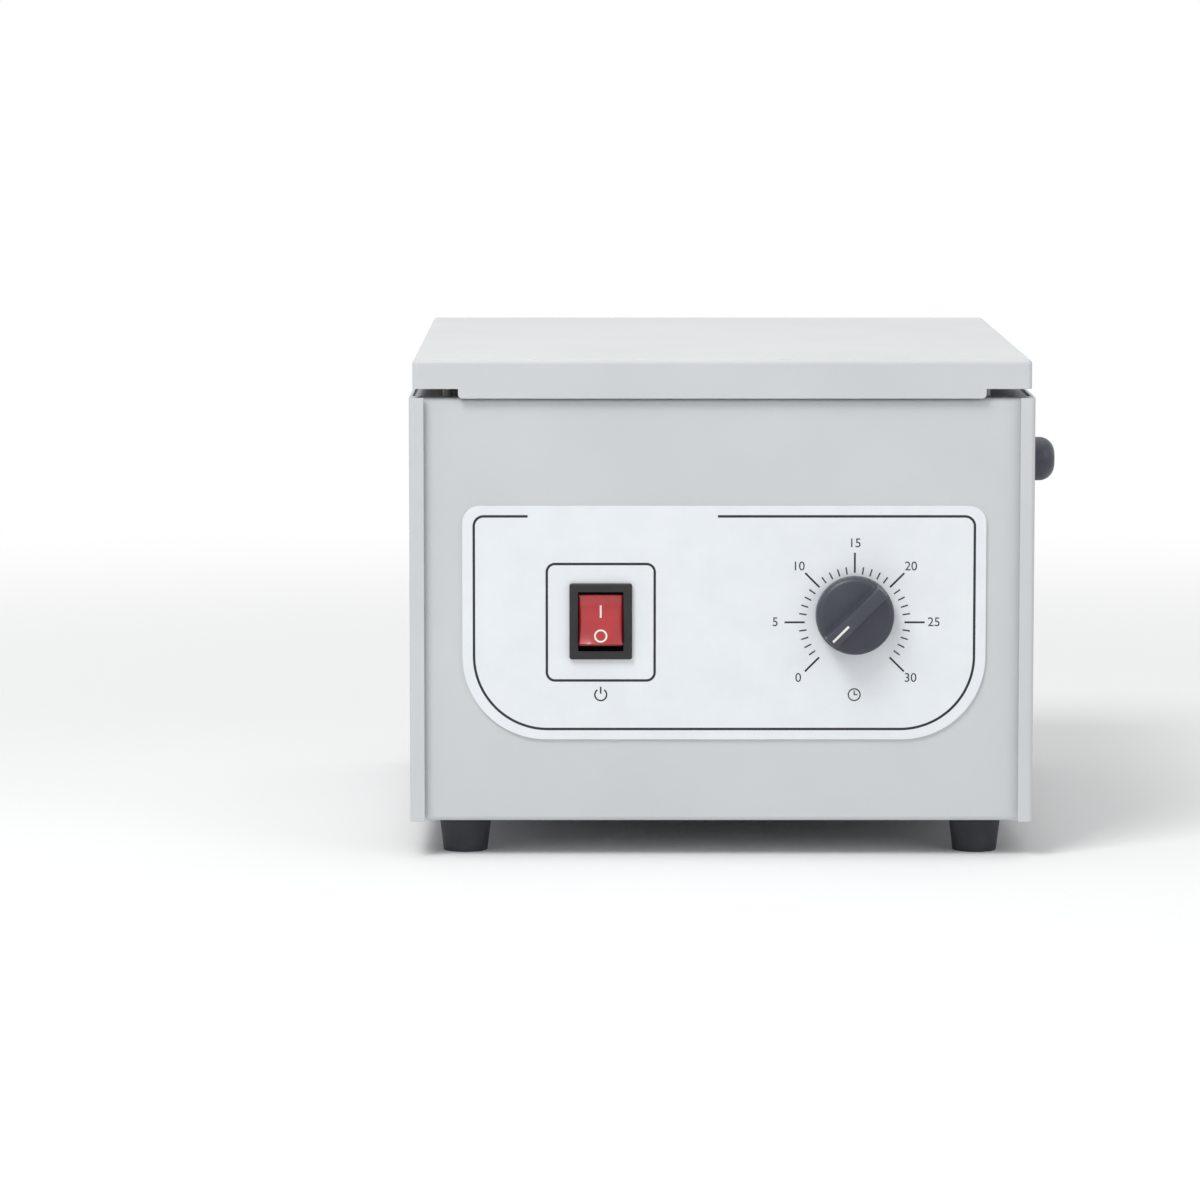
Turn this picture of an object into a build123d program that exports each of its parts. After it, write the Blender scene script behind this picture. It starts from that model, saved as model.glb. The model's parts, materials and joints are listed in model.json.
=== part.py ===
"""Small bench centrifuge: folded steel case, hinged lid, angle rotor, clockwork timer and rocker switch."""

import os
from math import cos, radians, sin

from build123d import *

os.makedirs("parts", exist_ok=True)

# ---- Driving dimensions, in millimetres ----

# Rotor bowl. It decides how wide and how deep the case is.
bowl_radius = 108.0
bowl_flange = 11.0
bowl_side_room = 8.0  # from the flange to the outside of the case
bowl_front_room = 43.0  # from the flange to the front of the case, with the controls in it
bowl_back_room = 9.0
bowl_sheet = 1.0
bowl_corner = 14.0
bowl_lip_corner = 2.0
bowl_hole_radius = 14.0
bowl_screw_inset = 2.8  # screws' circle inside the flange's edge
bowl_screw_count = 6
bowl_screw_radius = 1.25
bowl_screw_head = 2.2
bowl_screw_head_height = 1.2
bowl_screw_length = 5.0
seal_gap = 2.2  # seal outside the bowl's wall
seal_width = 3.2
soft_gap = 0.3  # between a soft piece and what closes on it

# Case. Heights are above the bench; x and y are from the middle of the case.
case_floor = 15.0  # bottom edges of the panels
sheet = 1.2  # steel sheet of case and lid
bend = 2.0  # outside radius of every fold
post_width = 6.0  # front returns of the side panels
panel_recess = 3.0  # front panel behind the posts
top_fold = 7.0  # turned-in top edges of front and rear panels
base_fold = 8.0  # turned-in bottom edges of front and rear panels
side_fold = 12.0  # folded edges of base plate and deck, against the side panels
fold_end_gap = 25.0  # folded edges stop this far from the front and the back

# Case screws, two at the bottom and two at the top of each side
case_screw_radius = 2.0
case_screw_head = 3.8
case_screw_head_height = 1.6
case_screw_length = 5.0
case_screw_inset = 50.0  # from the front and the back
screw_clearance = 0.1

# Feet
foot_top_radius = 11.0
foot_bottom_radius = 9.0
foot_side_inset = 22.0
foot_end_inset = 25.0
foot_recess_radius = 5.0
foot_recess_depth = 8.0
foot_screw_radius = 2.0
foot_screw_head = 3.8
foot_nut_radius = 4.0
foot_nut_height = 3.2

# Lid
lid_height = 15.7  # top of the lid above the panels
lid_inset = 1.5  # lid sides inside the case sides
lid_gap = 3.7  # daylight between case and lid
lip_end_gap = 20.0  # ends of the front lip from the sides of the case
lip_drop = 3.9  # front lip below the lid's other edges
lip_corner = 1.8
liner_side_gap = 7.5  # from the sides of the lid
liner_front_gap = 13.0
liner_back_gap = 9.0
liner_height = 6.0

# Hinges
hinge_inset = 47.0  # middle of a hinge from the side of the case
hinge_length = 50.0
knuckle_length = 18.0  # middle knuckle, on the lid's leaf
knuckle_radius = 3.0
knuckle_gap = 0.2
hinge_pin_radius = 1.5
pin_clearance = 0.05
pin_head_radius = 2.3
pin_head_height = 0.8
leaf_thickness = 1.2
fixed_leaf_height = 20.0
lid_leaf_height = 8.5
hinge_clearance = 0.1  # knuckles off the rear panel
rivet_radius = 1.6
rivet_head = 2.8
rivet_head_height = 1.0
rivet_spacing = 34.0

# Control panel
label_side_gap = 20.5  # label's sides from the sides of the case
label_height = 95.6
label_thickness = 1.0
label_x = 1.0
label_z = 96.5
label_bottom_corner = 34.0
label_top_corner = 7.0

# Power switch
switch_x = -49.2
switch_z = 97.2
bezel_width = 25.5
bezel_height = 31.0
bezel_thickness = 2.0
switch_body_width = 21.8
switch_body_height = 28.4
switch_body_depth = 24.0
well_width = 18.4
well_height = 24.2
well_depth = 15.0
rocker_width = 18.0
rocker_height = 22.0
rocker_tilt = 10.0
rocker_nose = 5.2  # ends of the rocker in front of its pivot
rocker_middle = 3.6  # middle of the rocker in front of its pivot
rocker_heel = 3.0  # back of the rocker behind its pivot
rocker_pivot_depth = 2.4  # pivot behind the label's face
pivot_radius = 1.2
pivot_clearance = 0.06
pivot_length = 1.1
blade_width = 4.8
blade_thickness = 0.8
blade_length = 8.0
switch_blade_pitch = 10.0

# Timer
timer_x = 54.1
timer_rise = 2.7  # timer's axis above the switch's
timer_case_size = 42.0
timer_case_depth = 30.0
timer_bush_radius = 4.5
timer_bush_length = 6.0
timer_nut_radius = 7.0
timer_nut_height = 2.0
timer_spindle_radius = 3.0
timer_spindle_depth = 20.0  # inside the timer's case
spindle_clearance = 0.05
knob_radius = 16.0
knob_back_gap = 0.8
knob_skirt_height = 7.0
knob_height = 16.0
knob_recess_radius = 9.0
knob_recess_depth = 4.0
grip_head_width = 6.4
grip_tail_width = 5.6
grip_wall = 0.8  # beside the spindle's flats
grip_front = 14.8
grip_back = 15.6
dial_start_angle = 225.0  # the pointer at 0 minutes, anticlockwise from the right

# Lid lock
lock_front_gap = 40.0
lock_drop = 25.5  # axis below the deck
lock_spindle_radius = 3.0
lock_bush_radius = 5.0
lock_bush_flange = 7.0
lock_bush_flange_thickness = 1.5
lock_nut_height = 3.0
lock_knob_radius = 9.0
lock_knob_length = 9.0
lock_knob_gap = 0.3
cam_side_gap = 14.0  # inner face of the cam from the side of the case
cam_thickness = 2.5
cam_hub_radius = 6.0
cam_length = 15.0
cam_width = 7.0
catch_cam_gap = 3.0
catch_thickness = 2.0
catch_width = 12.0
catch_lock_gap = 7.0  # back of the catch in front of the lock's axis
catch_tab_drop = 8.0  # underside of the tab below the lock's axis
catch_tab_length = 11.0
catch_foot_length = 12.0
catch_slot_margin = 1.5
catch_swing = 3.0  # how far the tab moves forward while it passes the deck

# Lid switch
lid_switch_side_gap = 15.0
lid_switch_front_gap = 28.0
lid_switch_width = 10.0
lid_switch_depth = 28.0
lid_switch_height = 16.0
plunger_radius = 2.0
plunger_length = 18.0
plunger_bore_depth = 11.0
plunger_deck_gap = 0.6

# Lid bumpers
bumper_radius = 5.0
bumper_front_side_gap = 37.0
bumper_front_gap = 23.0
bumper_back_side_gap = 22.0
bumper_back_gap = 25.0

# Motor and its mounting
mount_height = 12.0
mount_radius = 8.0
mount_spacing_x = 100.0
mount_spacing_y = 76.0
bracket_thickness = 2.5
bracket_width = 124.0
bracket_depth = 100.0
bracket_hole_inset = 6.0  # edge of the bracket's hole inside the bolts' circle
bracket_corner = 8.0
motor_radius = 42.0
lower_cap_height = 10.0
stator_height = 36.0
upper_cap_height = 10.0
cap_bore_wall = 4.0
stator_bore_radius = 24.0
air_gap = 0.6
armature_margin = 2.0
bearing_radius = 11.0
bearing_height = 7.0
bearing_clearance = 0.02
shaft_radius = 5.0
shaft_thread_radius = 4.0
shaft_floor_gap = 0.6
motor_bolt_inset = 6.0  # bolts' circle inside the motor's rim
motor_bolt_count = 4
motor_bolt_radius = 2.0
motor_bolt_head = 3.5
motor_bolt_head_height = 3.0
fan_tip_gap = 3.0  # fan inside the bracket's hole
fan_hub_radius = 9.0
fan_floor_gap = 1.2
fan_height = 8.0
fan_blades = 9
fan_blade_thickness = 1.4
boot_flange_radius = 20.0
boot_waist_radius = 17.0
boot_flange_height = 2.0
boot_wall = 2.5
boot_height = 11.1

# Rotor head and sleeves
place_count = 6
sleeve_tilt = 45.0
mouth_radius = 31.0
mouth_height = 69.0  # middle of a mouth above the bowl's floor
mouth_room = 18.1  # from there to the top of the deck
sleeve_length = 80.0
sleeve_radius = 9.5
sleeve_bore_radius = 8.7
sleeve_floor = 1.5
collar_radius = 11.5
collar_height = 2.5
seat_clearance = 0.3
sleeve_hole_clearance = 0.05
seat_depth = 1.0
head_thickness = 6.0
head_hub_radius = 13.0
head_hub_height = 20.0
head_hub_drop = 15.0  # top of the hub below the middle of a mouth
head_rim_radius = 46.0
cushion_radius = 7.85
cushion_height = 5.5
cushion_pocket = 6.0  # depth of the narrower bore that holds the cushion
nut_radius = 11.0
nut_height = 15.0
nut_dome = 4.0
nut_grips = 12
nut_grip_radius = 1.6
thread_reach = 10.0

# Mains inlet with its fuse drawer, in the rear panel
inlet_side_gap = 57.0
inlet_z = 58.0
inlet_flange_width = 31.0
inlet_flange_height = 46.0
inlet_flange_thickness = 3.0
inlet_body_width = 27.4
inlet_body_height = 41.0
inlet_body_depth = 30.0
inlet_corner = 3.0
socket_width = 24.4
socket_height = 16.8
socket_depth = 17.5
socket_drop = 8.0  # socket's middle below the inlet's middle
socket_chamfer = 4.5
inlet_pin_width = 4.0
inlet_pin_thickness = 2.0
inlet_pin_length = 15.5
inlet_pin_pitch = 14.0
earth_pin_rise = 4.0
drawer_width = 24.0
drawer_height = 9.6
drawer_depth = 24.0
drawer_rise = 12.0  # drawer's middle above the inlet's middle
drawer_clearance = 0.15
drawer_front_height = 11.0
drawer_front_width = 25.0
drawer_front_thickness = 1.4
fuse_radius = 2.6
fuse_length = 20.0
fuse_cap_length = 5.0

# Rear panel
vent_count = 7
vent_length = 44.0
vent_width = 3.0
vent_pitch = 7.0
vent_side_gap = 65.0  # middle of the row of slots from the side of the case
vent_z = 60.0
plate_width = 62.0
plate_height = 38.0
plate_thickness = 0.6
plate_z = 140.0

# Base plate vents under the fan
base_vent_count = 12
base_vent_inner = 12.0
base_vent_outer = 30.0
base_vent_width = 4.0

# Run capacitor and its strap
capacitor_side_gap = 35.0
capacitor_offset = 7.0  # in front of the rotor's axis
capacitor_radius = 15.0
capacitor_length = 58.0
capacitor_terminal_length = 8.0
strap_width = 12.0
strap_thickness = 1.0
strap_foot = 12.0

# Wires
wire_radius = 2.4

# ---- Heights and faces that follow ----

# From the bench up: floor, mounts, bracket, motor, boot, bowl, rotor, deck and lid
floor_under = case_floor + sheet
floor_top = floor_under + sheet
shaft_bottom = floor_top + shaft_floor_gap
fan_bottom = floor_top + fan_floor_gap
bracket_under = floor_top + mount_height
motor_bottom = bracket_under + bracket_thickness
stator_bottom = motor_bottom + lower_cap_height
stator_top = stator_bottom + stator_height
motor_top = stator_top + upper_cap_height
motor_bolt_circle = motor_radius - motor_bolt_inset
bracket_hole_radius = motor_bolt_circle - bracket_hole_inset
fan_radius = bracket_hole_radius - fan_tip_gap
bowl_floor = motor_top + boot_height + bowl_sheet
mouth_z = bowl_floor + mouth_height
head_hub_top = mouth_z - head_hub_drop
head_hub_bottom = head_hub_top - head_hub_height
deck_top = mouth_z + mouth_room
deck_under = deck_top - sheet
case_top = deck_top + sheet
lid_edge = case_top + lid_gap
lip_edge = lid_edge - lip_drop
lid_top = case_top + lid_height
liner_under = lid_top - sheet - liner_height

# Round the bowl: seal, screws, flange and case
bowl_flange_radius = bowl_radius + bowl_flange
bowl_screw_circle = bowl_flange_radius - bowl_screw_inset
seal_inner_radius = bowl_radius + seal_gap
seal_outer_radius = seal_inner_radius + seal_width
case_width = 2 * (bowl_flange_radius + bowl_side_room)
case_depth = bowl_front_room + 2 * bowl_flange_radius + bowl_back_room
inner_width = case_width - 2 * sheet
post_front = -case_depth / 2
case_back = case_depth / 2
panel_face = post_front + panel_recess
panel_back = panel_face + sheet
label_face = panel_face - label_thickness
rotor_y = case_back - bowl_back_room - bowl_flange_radius
lid_width = case_width - 2 * lid_inset
lip_width = case_width - 2 * lip_end_gap
liner_width = lid_width - 2 * liner_side_gap
liner_front = post_front + liner_front_gap
liner_back = case_back - liner_back_gap
label_width = case_width - 2 * label_side_gap
fold_length = case_depth - 2 * fold_end_gap
hinge_offset = case_width / 2 - hinge_inset
hinge_y = case_back + hinge_clearance + knuckle_radius
hinge_z = case_top + lid_gap / 2
knuckle_room = knuckle_radius + hinge_clearance
fixed_leaf_z = hinge_z - knuckle_room - fixed_leaf_height / 2
lid_leaf_z = hinge_z + knuckle_room + lid_leaf_height / 2
knob_back = label_face - knob_back_gap
knob_face = knob_back - knob_height
lock_y = post_front + lock_front_gap
lock_z = deck_under - lock_drop
timer_z = switch_z + timer_rise
cam_x = case_width / 2 - cam_side_gap
catch_x = cam_x - catch_cam_gap - catch_thickness
catch_tab_z = lock_z - catch_tab_drop
lid_switch_x = lid_switch_side_gap - case_width / 2
lid_switch_y = post_front + lid_switch_front_gap
inlet_x = inlet_side_gap - case_width / 2
vent_x = case_width / 2 - vent_side_gap
capacitor_x = case_width / 2 - capacitor_side_gap
capacitor_y = rotor_y - capacitor_offset
lock_knob_back = case_width / 2 + lock_bush_flange_thickness + lock_knob_gap
lock_knob_face = lock_knob_back + lock_knob_length

# The origin is under the middle of the whole instrument, knobs, screws and hinges included.
case_x = (case_width / 2 + case_screw_head_height - lock_knob_face) / 2
case_y = -(knob_face + hinge_y + knuckle_radius) / 2


# ---- Planes ----


def level(z, x=0.0, y=0.0):
    """Horizontal plane at a height, at x, y from the middle of the case."""
    return Plane((case_x + x, case_y + y, z))


def facing_front(y, x=0.0, z=0.0):
    """Upright plane whose sketches have x to the right and y up, seen from the front."""
    return Plane((case_x + x, case_y + y, z), x_dir=(1, 0, 0), z_dir=(0, -1, 0))


def facing_back(y, x=0.0, z=0.0):
    """Upright plane whose normal points out of the back of the case."""
    return Plane((case_x + x, case_y + y, z), x_dir=(-1, 0, 0), z_dir=(0, 1, 0))


def facing_right(x, y=0.0, z=0.0):
    """Upright plane whose sketches have x to the back and y up, seen from the right."""
    return Plane((case_x + x, case_y + y, z), x_dir=(0, 1, 0), z_dir=(1, 0, 0))


def facing_left(x, y=0.0, z=0.0):
    """Upright plane whose normal points out of the left of the case."""
    return Plane((case_x + x, case_y + y, z), x_dir=(0, -1, 0), z_dir=(-1, 0, 0))


def side_screw_planes(side):
    """Planes of one side's four case screws, on the side panel's outer face."""
    low = floor_top + side_fold / 2
    high = deck_under - side_fold / 2
    plane = facing_right if side > 0 else facing_left
    ends = (post_front + case_screw_inset, case_back - case_screw_inset)
    return [plane(side * case_width / 2, y, z) for y in ends for z in (low, high)]


def rotor_level(z, radius=0.0, angle=0.0):
    """Horizontal plane at a height, at a place round the rotor's axis."""
    x = radius * cos(radians(angle))
    y = radius * sin(radians(angle))
    return level(z, x, rotor_y + y)


def round_the_rotor(z, radius, count, start=0.0):
    """Planes evenly spaced round the rotor's axis."""
    return [rotor_level(z, radius, start + 360 / count * i) for i in range(count)]


rotor_axis = Axis((case_x, case_y + rotor_y, 0), (0, 0, 1))
rotor_profile = facing_front(rotor_y)


def screw_set(planes, radius, length, head, head_height):
    """Domed screws with the underside of their heads on the planes, pointing into the work."""
    with BuildPart() as screws:
        with BuildSketch(*planes):
            Circle(head)
        extrude(amount=head_height, taper=12)
        with BuildSketch(*planes):
            Circle(radius)
        extrude(amount=-length)
    return screws.part


def write(piece, name):
    """Label a finished piece and write it."""
    piece.label = name
    export_step(piece, f"parts/{name}.step")


# ---- Case ----

foot_planes = [
    level(floor_under, x, y)
    for x in (foot_side_inset - case_width / 2, case_width / 2 - foot_side_inset)
    for y in (post_front + foot_end_inset, case_back - foot_end_inset)
]
tray_length = case_back - sheet - panel_back - 2 * (bend - sheet)
tray_middle = (case_back - sheet + panel_back) / 2

# Base plate: lies on the panels' bottom folds, drilled for the feet and slotted under the fan.
with BuildPart() as base_plate:
    with BuildSketch(level(floor_under, 0, tray_middle)):
        Rectangle(inner_width, tray_length)
    extrude(amount=sheet)
    for side in (-1, 1):
        with BuildSketch(level(floor_under, side * (inner_width - sheet) / 2)):
            Rectangle(sheet, fold_length)
        extrude(amount=sheet + side_fold)
    with BuildSketch(*foot_planes):
        Circle(foot_screw_radius + screw_clearance)
    extrude(amount=sheet, mode=Mode.SUBTRACT)
    with BuildSketch(rotor_level(floor_under)):
        with PolarLocations((base_vent_inner + base_vent_outer) / 2, base_vent_count):
            SlotOverall(base_vent_outer - base_vent_inner, base_vent_width)
    extrude(amount=sheet, mode=Mode.SUBTRACT)
    for side in (-1, 1):
        with BuildSketch(*side_screw_planes(side)[::2]):
            Circle(case_screw_radius)
        extrude(amount=-2.5 * sheet, mode=Mode.SUBTRACT)
write(base_plate.part, "base_plate")

# Side panels: flat sheets, each with a narrow return down the front.
for side, name in ((-1, "side_panel_left"), (1, "side_panel_right")):
    outer = side * case_width / 2
    with BuildPart() as side_panel:
        with BuildSketch(level(case_floor)):
            with BuildLine():
                FilletPolyline(
                    (outer - side * post_width, post_front),
                    (outer, post_front),
                    (outer, case_back),
                    radius=bend,
                )
                offset(amount=sheet, side=Side.LEFT if side > 0 else Side.RIGHT)
            make_face()
        extrude(amount=case_top - case_floor)
        with BuildSketch(*side_screw_planes(side)):
            Circle(case_screw_radius + screw_clearance)
        extrude(amount=-sheet, mode=Mode.SUBTRACT)
        if side > 0:
            with BuildSketch(facing_right(outer, lock_y, lock_z)):
                Circle(lock_bush_radius + screw_clearance)
            extrude(amount=-sheet, mode=Mode.SUBTRACT)
    write(side_panel.part, name)

# Front panel: folded in at the top and bottom, with openings for the switch and the timer.
with BuildPart() as front_panel:
    with BuildSketch(facing_right(-inner_width / 2)):
        with BuildLine():
            FilletPolyline(
                (panel_back + base_fold, case_floor),
                (panel_face, case_floor),
                (panel_face, case_top),
                (panel_back + top_fold, case_top),
                radius=bend,
            )
            offset(amount=sheet, side=Side.RIGHT)
        make_face()
    extrude(amount=inner_width)
    with BuildSketch(facing_front(panel_face, 0, switch_z)):
        with Locations((switch_x, 0)):
            Rectangle(switch_body_width + 2 * screw_clearance, switch_body_height + 2 * screw_clearance)
        with Locations((timer_x, timer_rise)):
            Circle(timer_bush_radius + screw_clearance)
    extrude(amount=-sheet, mode=Mode.SUBTRACT)
write(front_panel.part, "front_panel")

rivet_xs = [side * hinge_offset + x for side in (-1, 1) for x in (-rivet_spacing / 2, rivet_spacing / 2)]

# Rear panel: like the front panel, with the inlet's opening, a row of slots and the hinge holes.
with BuildPart() as rear_panel:
    with BuildSketch(facing_right(-inner_width / 2)):
        with BuildLine():
            FilletPolyline(
                (case_back - sheet - base_fold, case_floor),
                (case_back, case_floor),
                (case_back, case_top),
                (case_back - sheet - top_fold, case_top),
                radius=bend,
            )
            offset(amount=sheet, side=Side.LEFT)
        make_face()
    extrude(amount=inner_width)
    with BuildSketch(facing_back(case_back)):
        with Locations((-inlet_x, inlet_z)):
            Rectangle(inlet_body_width + 2 * screw_clearance, inlet_body_height + 2 * screw_clearance)
        with Locations((-vent_x, vent_z)):
            with GridLocations(0, vent_pitch, 1, vent_count):
                SlotOverall(vent_length, vent_width)
        with Locations(*[(x, fixed_leaf_z) for x in rivet_xs]):
            Circle(rivet_radius)
    extrude(amount=-sheet, mode=Mode.SUBTRACT)
write(rear_panel.part, "rear_panel")

catch_y = lock_y - catch_lock_gap - catch_width / 2
bowl_screw_planes = round_the_rotor(deck_top + bowl_sheet, bowl_screw_circle, bowl_screw_count, 30)

# Top deck: carries the bowl, under the folded edges of the front and rear panels.
with BuildPart() as top_deck:
    with BuildSketch(level(deck_under, 0, tray_middle)):
        Rectangle(inner_width, tray_length)
    extrude(amount=sheet)
    for side in (-1, 1):
        with BuildSketch(level(deck_under - side_fold, side * (inner_width - sheet) / 2)):
            Rectangle(sheet, fold_length)
        extrude(amount=side_fold)
        with BuildSketch(*side_screw_planes(side)[1::2]):
            Circle(case_screw_radius)
        extrude(amount=-2.5 * sheet, mode=Mode.SUBTRACT)
    with BuildSketch(rotor_level(deck_under)):
        Circle(bowl_radius + bowl_lip_corner + soft_gap)
    extrude(amount=sheet, mode=Mode.SUBTRACT)
    with BuildSketch(*[plane.offset(-bowl_sheet) for plane in bowl_screw_planes]):
        Circle(bowl_screw_radius)
    extrude(amount=-sheet, mode=Mode.SUBTRACT)
    with BuildSketch(level(deck_under, catch_x + catch_tab_length / 2, catch_y - catch_swing / 2)):
        Rectangle(catch_tab_length + 2 * catch_slot_margin, catch_width + catch_swing + 2 * catch_slot_margin)
    extrude(amount=sheet, mode=Mode.SUBTRACT)
    with BuildSketch(level(deck_under, lid_switch_x, lid_switch_y)):
        Circle(plunger_radius + plunger_deck_gap)
    extrude(amount=sheet, mode=Mode.SUBTRACT)
write(top_deck.part, "top_deck")

case_screws = screw_set(
    side_screw_planes(-1) + side_screw_planes(1),
    case_screw_radius,
    case_screw_length,
    case_screw_head,
    case_screw_head_height,
)
write(case_screws, "case_screws")

# Rating plate: bare, on the rear panel.
with BuildPart() as rating_plate:
    with BuildSketch(facing_back(case_back, 0, plate_z)):
        RectangleRounded(plate_width, plate_height, 3 * plate_thickness)
    extrude(amount=plate_thickness)
write(rating_plate.part, "rating_plate")

# ---- Feet ----

with BuildPart() as rubber_feet:
    for plane in foot_planes:
        with BuildSketch(plane):
            Circle(foot_top_radius)
        with BuildSketch(plane.offset(-floor_under)):
            Circle(foot_bottom_radius)
        loft()
    with BuildSketch(*[plane.offset(-floor_under) for plane in foot_planes]):
        Circle(foot_recess_radius)
    extrude(amount=foot_recess_depth, mode=Mode.SUBTRACT)
    with BuildSketch(*foot_planes):
        Circle(foot_screw_radius + screw_clearance)
    extrude(amount=-floor_under, mode=Mode.SUBTRACT)
write(rubber_feet.part, "rubber_feet")

foot_screw_planes = [plane.offset(foot_recess_depth - floor_under) for plane in foot_planes]
foot_clamp = floor_under - foot_recess_depth + sheet
with BuildPart() as foot_screws:
    with BuildSketch(*foot_screw_planes):
        Circle(foot_screw_head)
    extrude(amount=-foot_screw_radius)
    with BuildSketch(*foot_screw_planes):
        Circle(foot_screw_radius)
    extrude(amount=foot_clamp + foot_nut_height)
    with BuildSketch(*[plane.offset(foot_clamp) for plane in foot_screw_planes]):
        RegularPolygon(foot_nut_radius, 6)
    extrude(amount=foot_nut_height)
write(foot_screws.part, "foot_screws")

# ---- Rotor bowl ----

with BuildPart() as rotor_bowl:
    with BuildSketch(rotor_profile):
        with BuildLine():
            FilletPolyline(
                (bowl_hole_radius, bowl_floor),
                (bowl_radius, bowl_floor),
                (bowl_radius, deck_top + bowl_sheet),
                (bowl_flange_radius, deck_top + bowl_sheet),
                radius=[bowl_corner, bowl_lip_corner],
            )
            offset(amount=bowl_sheet, side=Side.RIGHT)
        make_face()
    revolve(axis=rotor_axis)
    with BuildSketch(*bowl_screw_planes):
        Circle(bowl_screw_radius + screw_clearance)
    extrude(amount=-bowl_sheet, mode=Mode.SUBTRACT)
write(rotor_bowl.part, "rotor_bowl")

bowl_screws = screw_set(
    bowl_screw_planes, bowl_screw_radius, bowl_screw_length, bowl_screw_head, bowl_screw_head_height
)
write(bowl_screws, "bowl_screws")

with BuildPart() as bowl_seal:
    with BuildSketch(rotor_level(deck_top + bowl_sheet)):
        Circle(seal_outer_radius)
        Circle(seal_inner_radius, mode=Mode.SUBTRACT)
    extrude(amount=liner_under - soft_gap - deck_top - bowl_sheet)
write(bowl_seal.part, "bowl_seal")

bumper_places = [
    (side * (case_width / 2 - side_gap), y)
    for side in (-1, 1)
    for side_gap, y in (
        (bumper_front_side_gap, post_front + bumper_front_gap),
        (bumper_back_side_gap, case_back - bumper_back_gap),
    )
]
with BuildPart() as lid_bumpers:
    with BuildSketch(level(deck_top)):
        with Locations(*bumper_places):
            Circle(bumper_radius)
    extrude(amount=liner_under - soft_gap - deck_top)
    fillet(lid_bumpers.edges().group_by(Axis.Z)[-1], bumper_radius / 4)
write(lid_bumpers.part, "lid_bumpers")

# ---- Lid ----

# Lid shell: a folded tray with welded corners; its front edge drops between the case's two posts.
with BuildPart() as lid_shell:
    with BuildSketch(level(lip_edge)):
        Rectangle(lid_width, case_depth)
    extrude(amount=lid_top - lip_edge)
    fillet(lid_shell.edges().filter_by(Axis.Z), bend)
    fillet(lid_shell.faces().sort_by(Axis.Z)[-1].edges(), bend)
    offset(amount=-sheet, openings=lid_shell.faces().sort_by(Axis.Z)[0])
    with BuildSketch(level(lip_edge, 0, sheet)):
        Rectangle(case_width, case_depth)
    extrude(amount=lip_drop, mode=Mode.SUBTRACT)
    with BuildSketch(facing_front(post_front, 0, lip_edge)):
        Rectangle(case_width, 2 * lip_drop)
        with Locations((0, lip_drop)):
            RectangleRounded(lip_width, 2 * lip_drop, lip_corner, mode=Mode.SUBTRACT)
    extrude(amount=-2 * sheet, mode=Mode.SUBTRACT)
    with BuildSketch(facing_back(case_back)):
        with Locations(*[(x, lid_leaf_z) for x in rivet_xs]):
            Circle(rivet_radius)
    extrude(amount=-sheet, mode=Mode.SUBTRACT)
write(lid_shell.part, "lid_shell")

# Lid liner: a shallow stiffening tray under the lid, closing on the bowl's seal.
liner_length = liner_back - liner_front
with BuildPart() as lid_liner:
    with BuildSketch(level(liner_under, 0, (liner_front + liner_back) / 2)):
        RectangleRounded(liner_width, liner_length, 2 * bend)
    extrude(amount=liner_height)
    fillet(lid_liner.faces().sort_by(Axis.Z)[0].edges(), bend)
    offset(amount=-sheet, openings=lid_liner.faces().sort_by(Axis.Z)[-1])
write(lid_liner.part, "lid_liner")

# Lid catch: a strip hanging through the deck, with a foot under the liner and a tab for the cam.
with BuildPart() as lid_catch:
    with BuildSketch(facing_right(catch_x + catch_thickness / 2, catch_y)):
        with Locations((0, (liner_under + catch_tab_z) / 2)):
            Rectangle(catch_width, liner_under - catch_tab_z)
    extrude(amount=catch_thickness / 2, both=True)
    with BuildSketch(level(catch_tab_z, catch_x + catch_tab_length / 2, catch_y)):
        Rectangle(catch_tab_length, catch_width)
    extrude(amount=catch_thickness)
    with BuildSketch(level(liner_under, catch_x + catch_thickness - catch_foot_length / 2, catch_y)):
        Rectangle(catch_foot_length, catch_width)
    extrude(amount=-catch_thickness)
write(lid_catch.part, "lid_catch")

# ---- Hinges ----

end_knuckle = (hinge_length - knuckle_length) / 2 - knuckle_gap
knuckle_bore = hinge_pin_radius + pin_clearance


def hinge_leaf(middle, height, spans):
    """One leaf of each hinge: a plate on the sheet, rolled round the pin over the given spans of x."""
    with BuildPart() as leaf:
        for hinge_x in (-hinge_offset, hinge_offset):
            with BuildSketch(facing_back(case_back, hinge_x, middle)):
                Rectangle(hinge_length, height)
            extrude(amount=leaf_thickness)
            for start, length in spans:
                with BuildSketch(facing_right(hinge_x + start, hinge_y, hinge_z)):
                    Circle(knuckle_radius)
                    with Locations((case_back - hinge_y + leaf_thickness / 2, (middle - hinge_z) / 2)):
                        Rectangle(leaf_thickness, abs(middle - hinge_z))
                    Circle(knuckle_bore, mode=Mode.SUBTRACT)
                extrude(amount=length)
        with BuildSketch(facing_back(case_back)):
            with Locations(*[(x, middle) for x in rivet_xs]):
                Circle(rivet_radius)
        extrude(amount=leaf_thickness, mode=Mode.SUBTRACT)
    return leaf.part


def hinge_rivets(middle):
    """The rivets of one leaf of each hinge."""
    planes = [facing_back(case_back + leaf_thickness, x, middle) for x in rivet_xs]
    return screw_set(planes, rivet_radius, leaf_thickness + sheet, rivet_head, rivet_head_height)


end_spans = [(-hinge_length / 2, end_knuckle), (hinge_length / 2 - end_knuckle, end_knuckle)]
middle_span = [(-knuckle_length / 2, knuckle_length)]
write(hinge_leaf(fixed_leaf_z, fixed_leaf_height, end_spans), "hinge_leaves_fixed")
write(hinge_leaf(lid_leaf_z, lid_leaf_height, middle_span), "hinge_leaves_lid")
write(hinge_rivets(fixed_leaf_z), "hinge_rivets_fixed")
write(hinge_rivets(lid_leaf_z), "hinge_rivets_lid")

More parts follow.
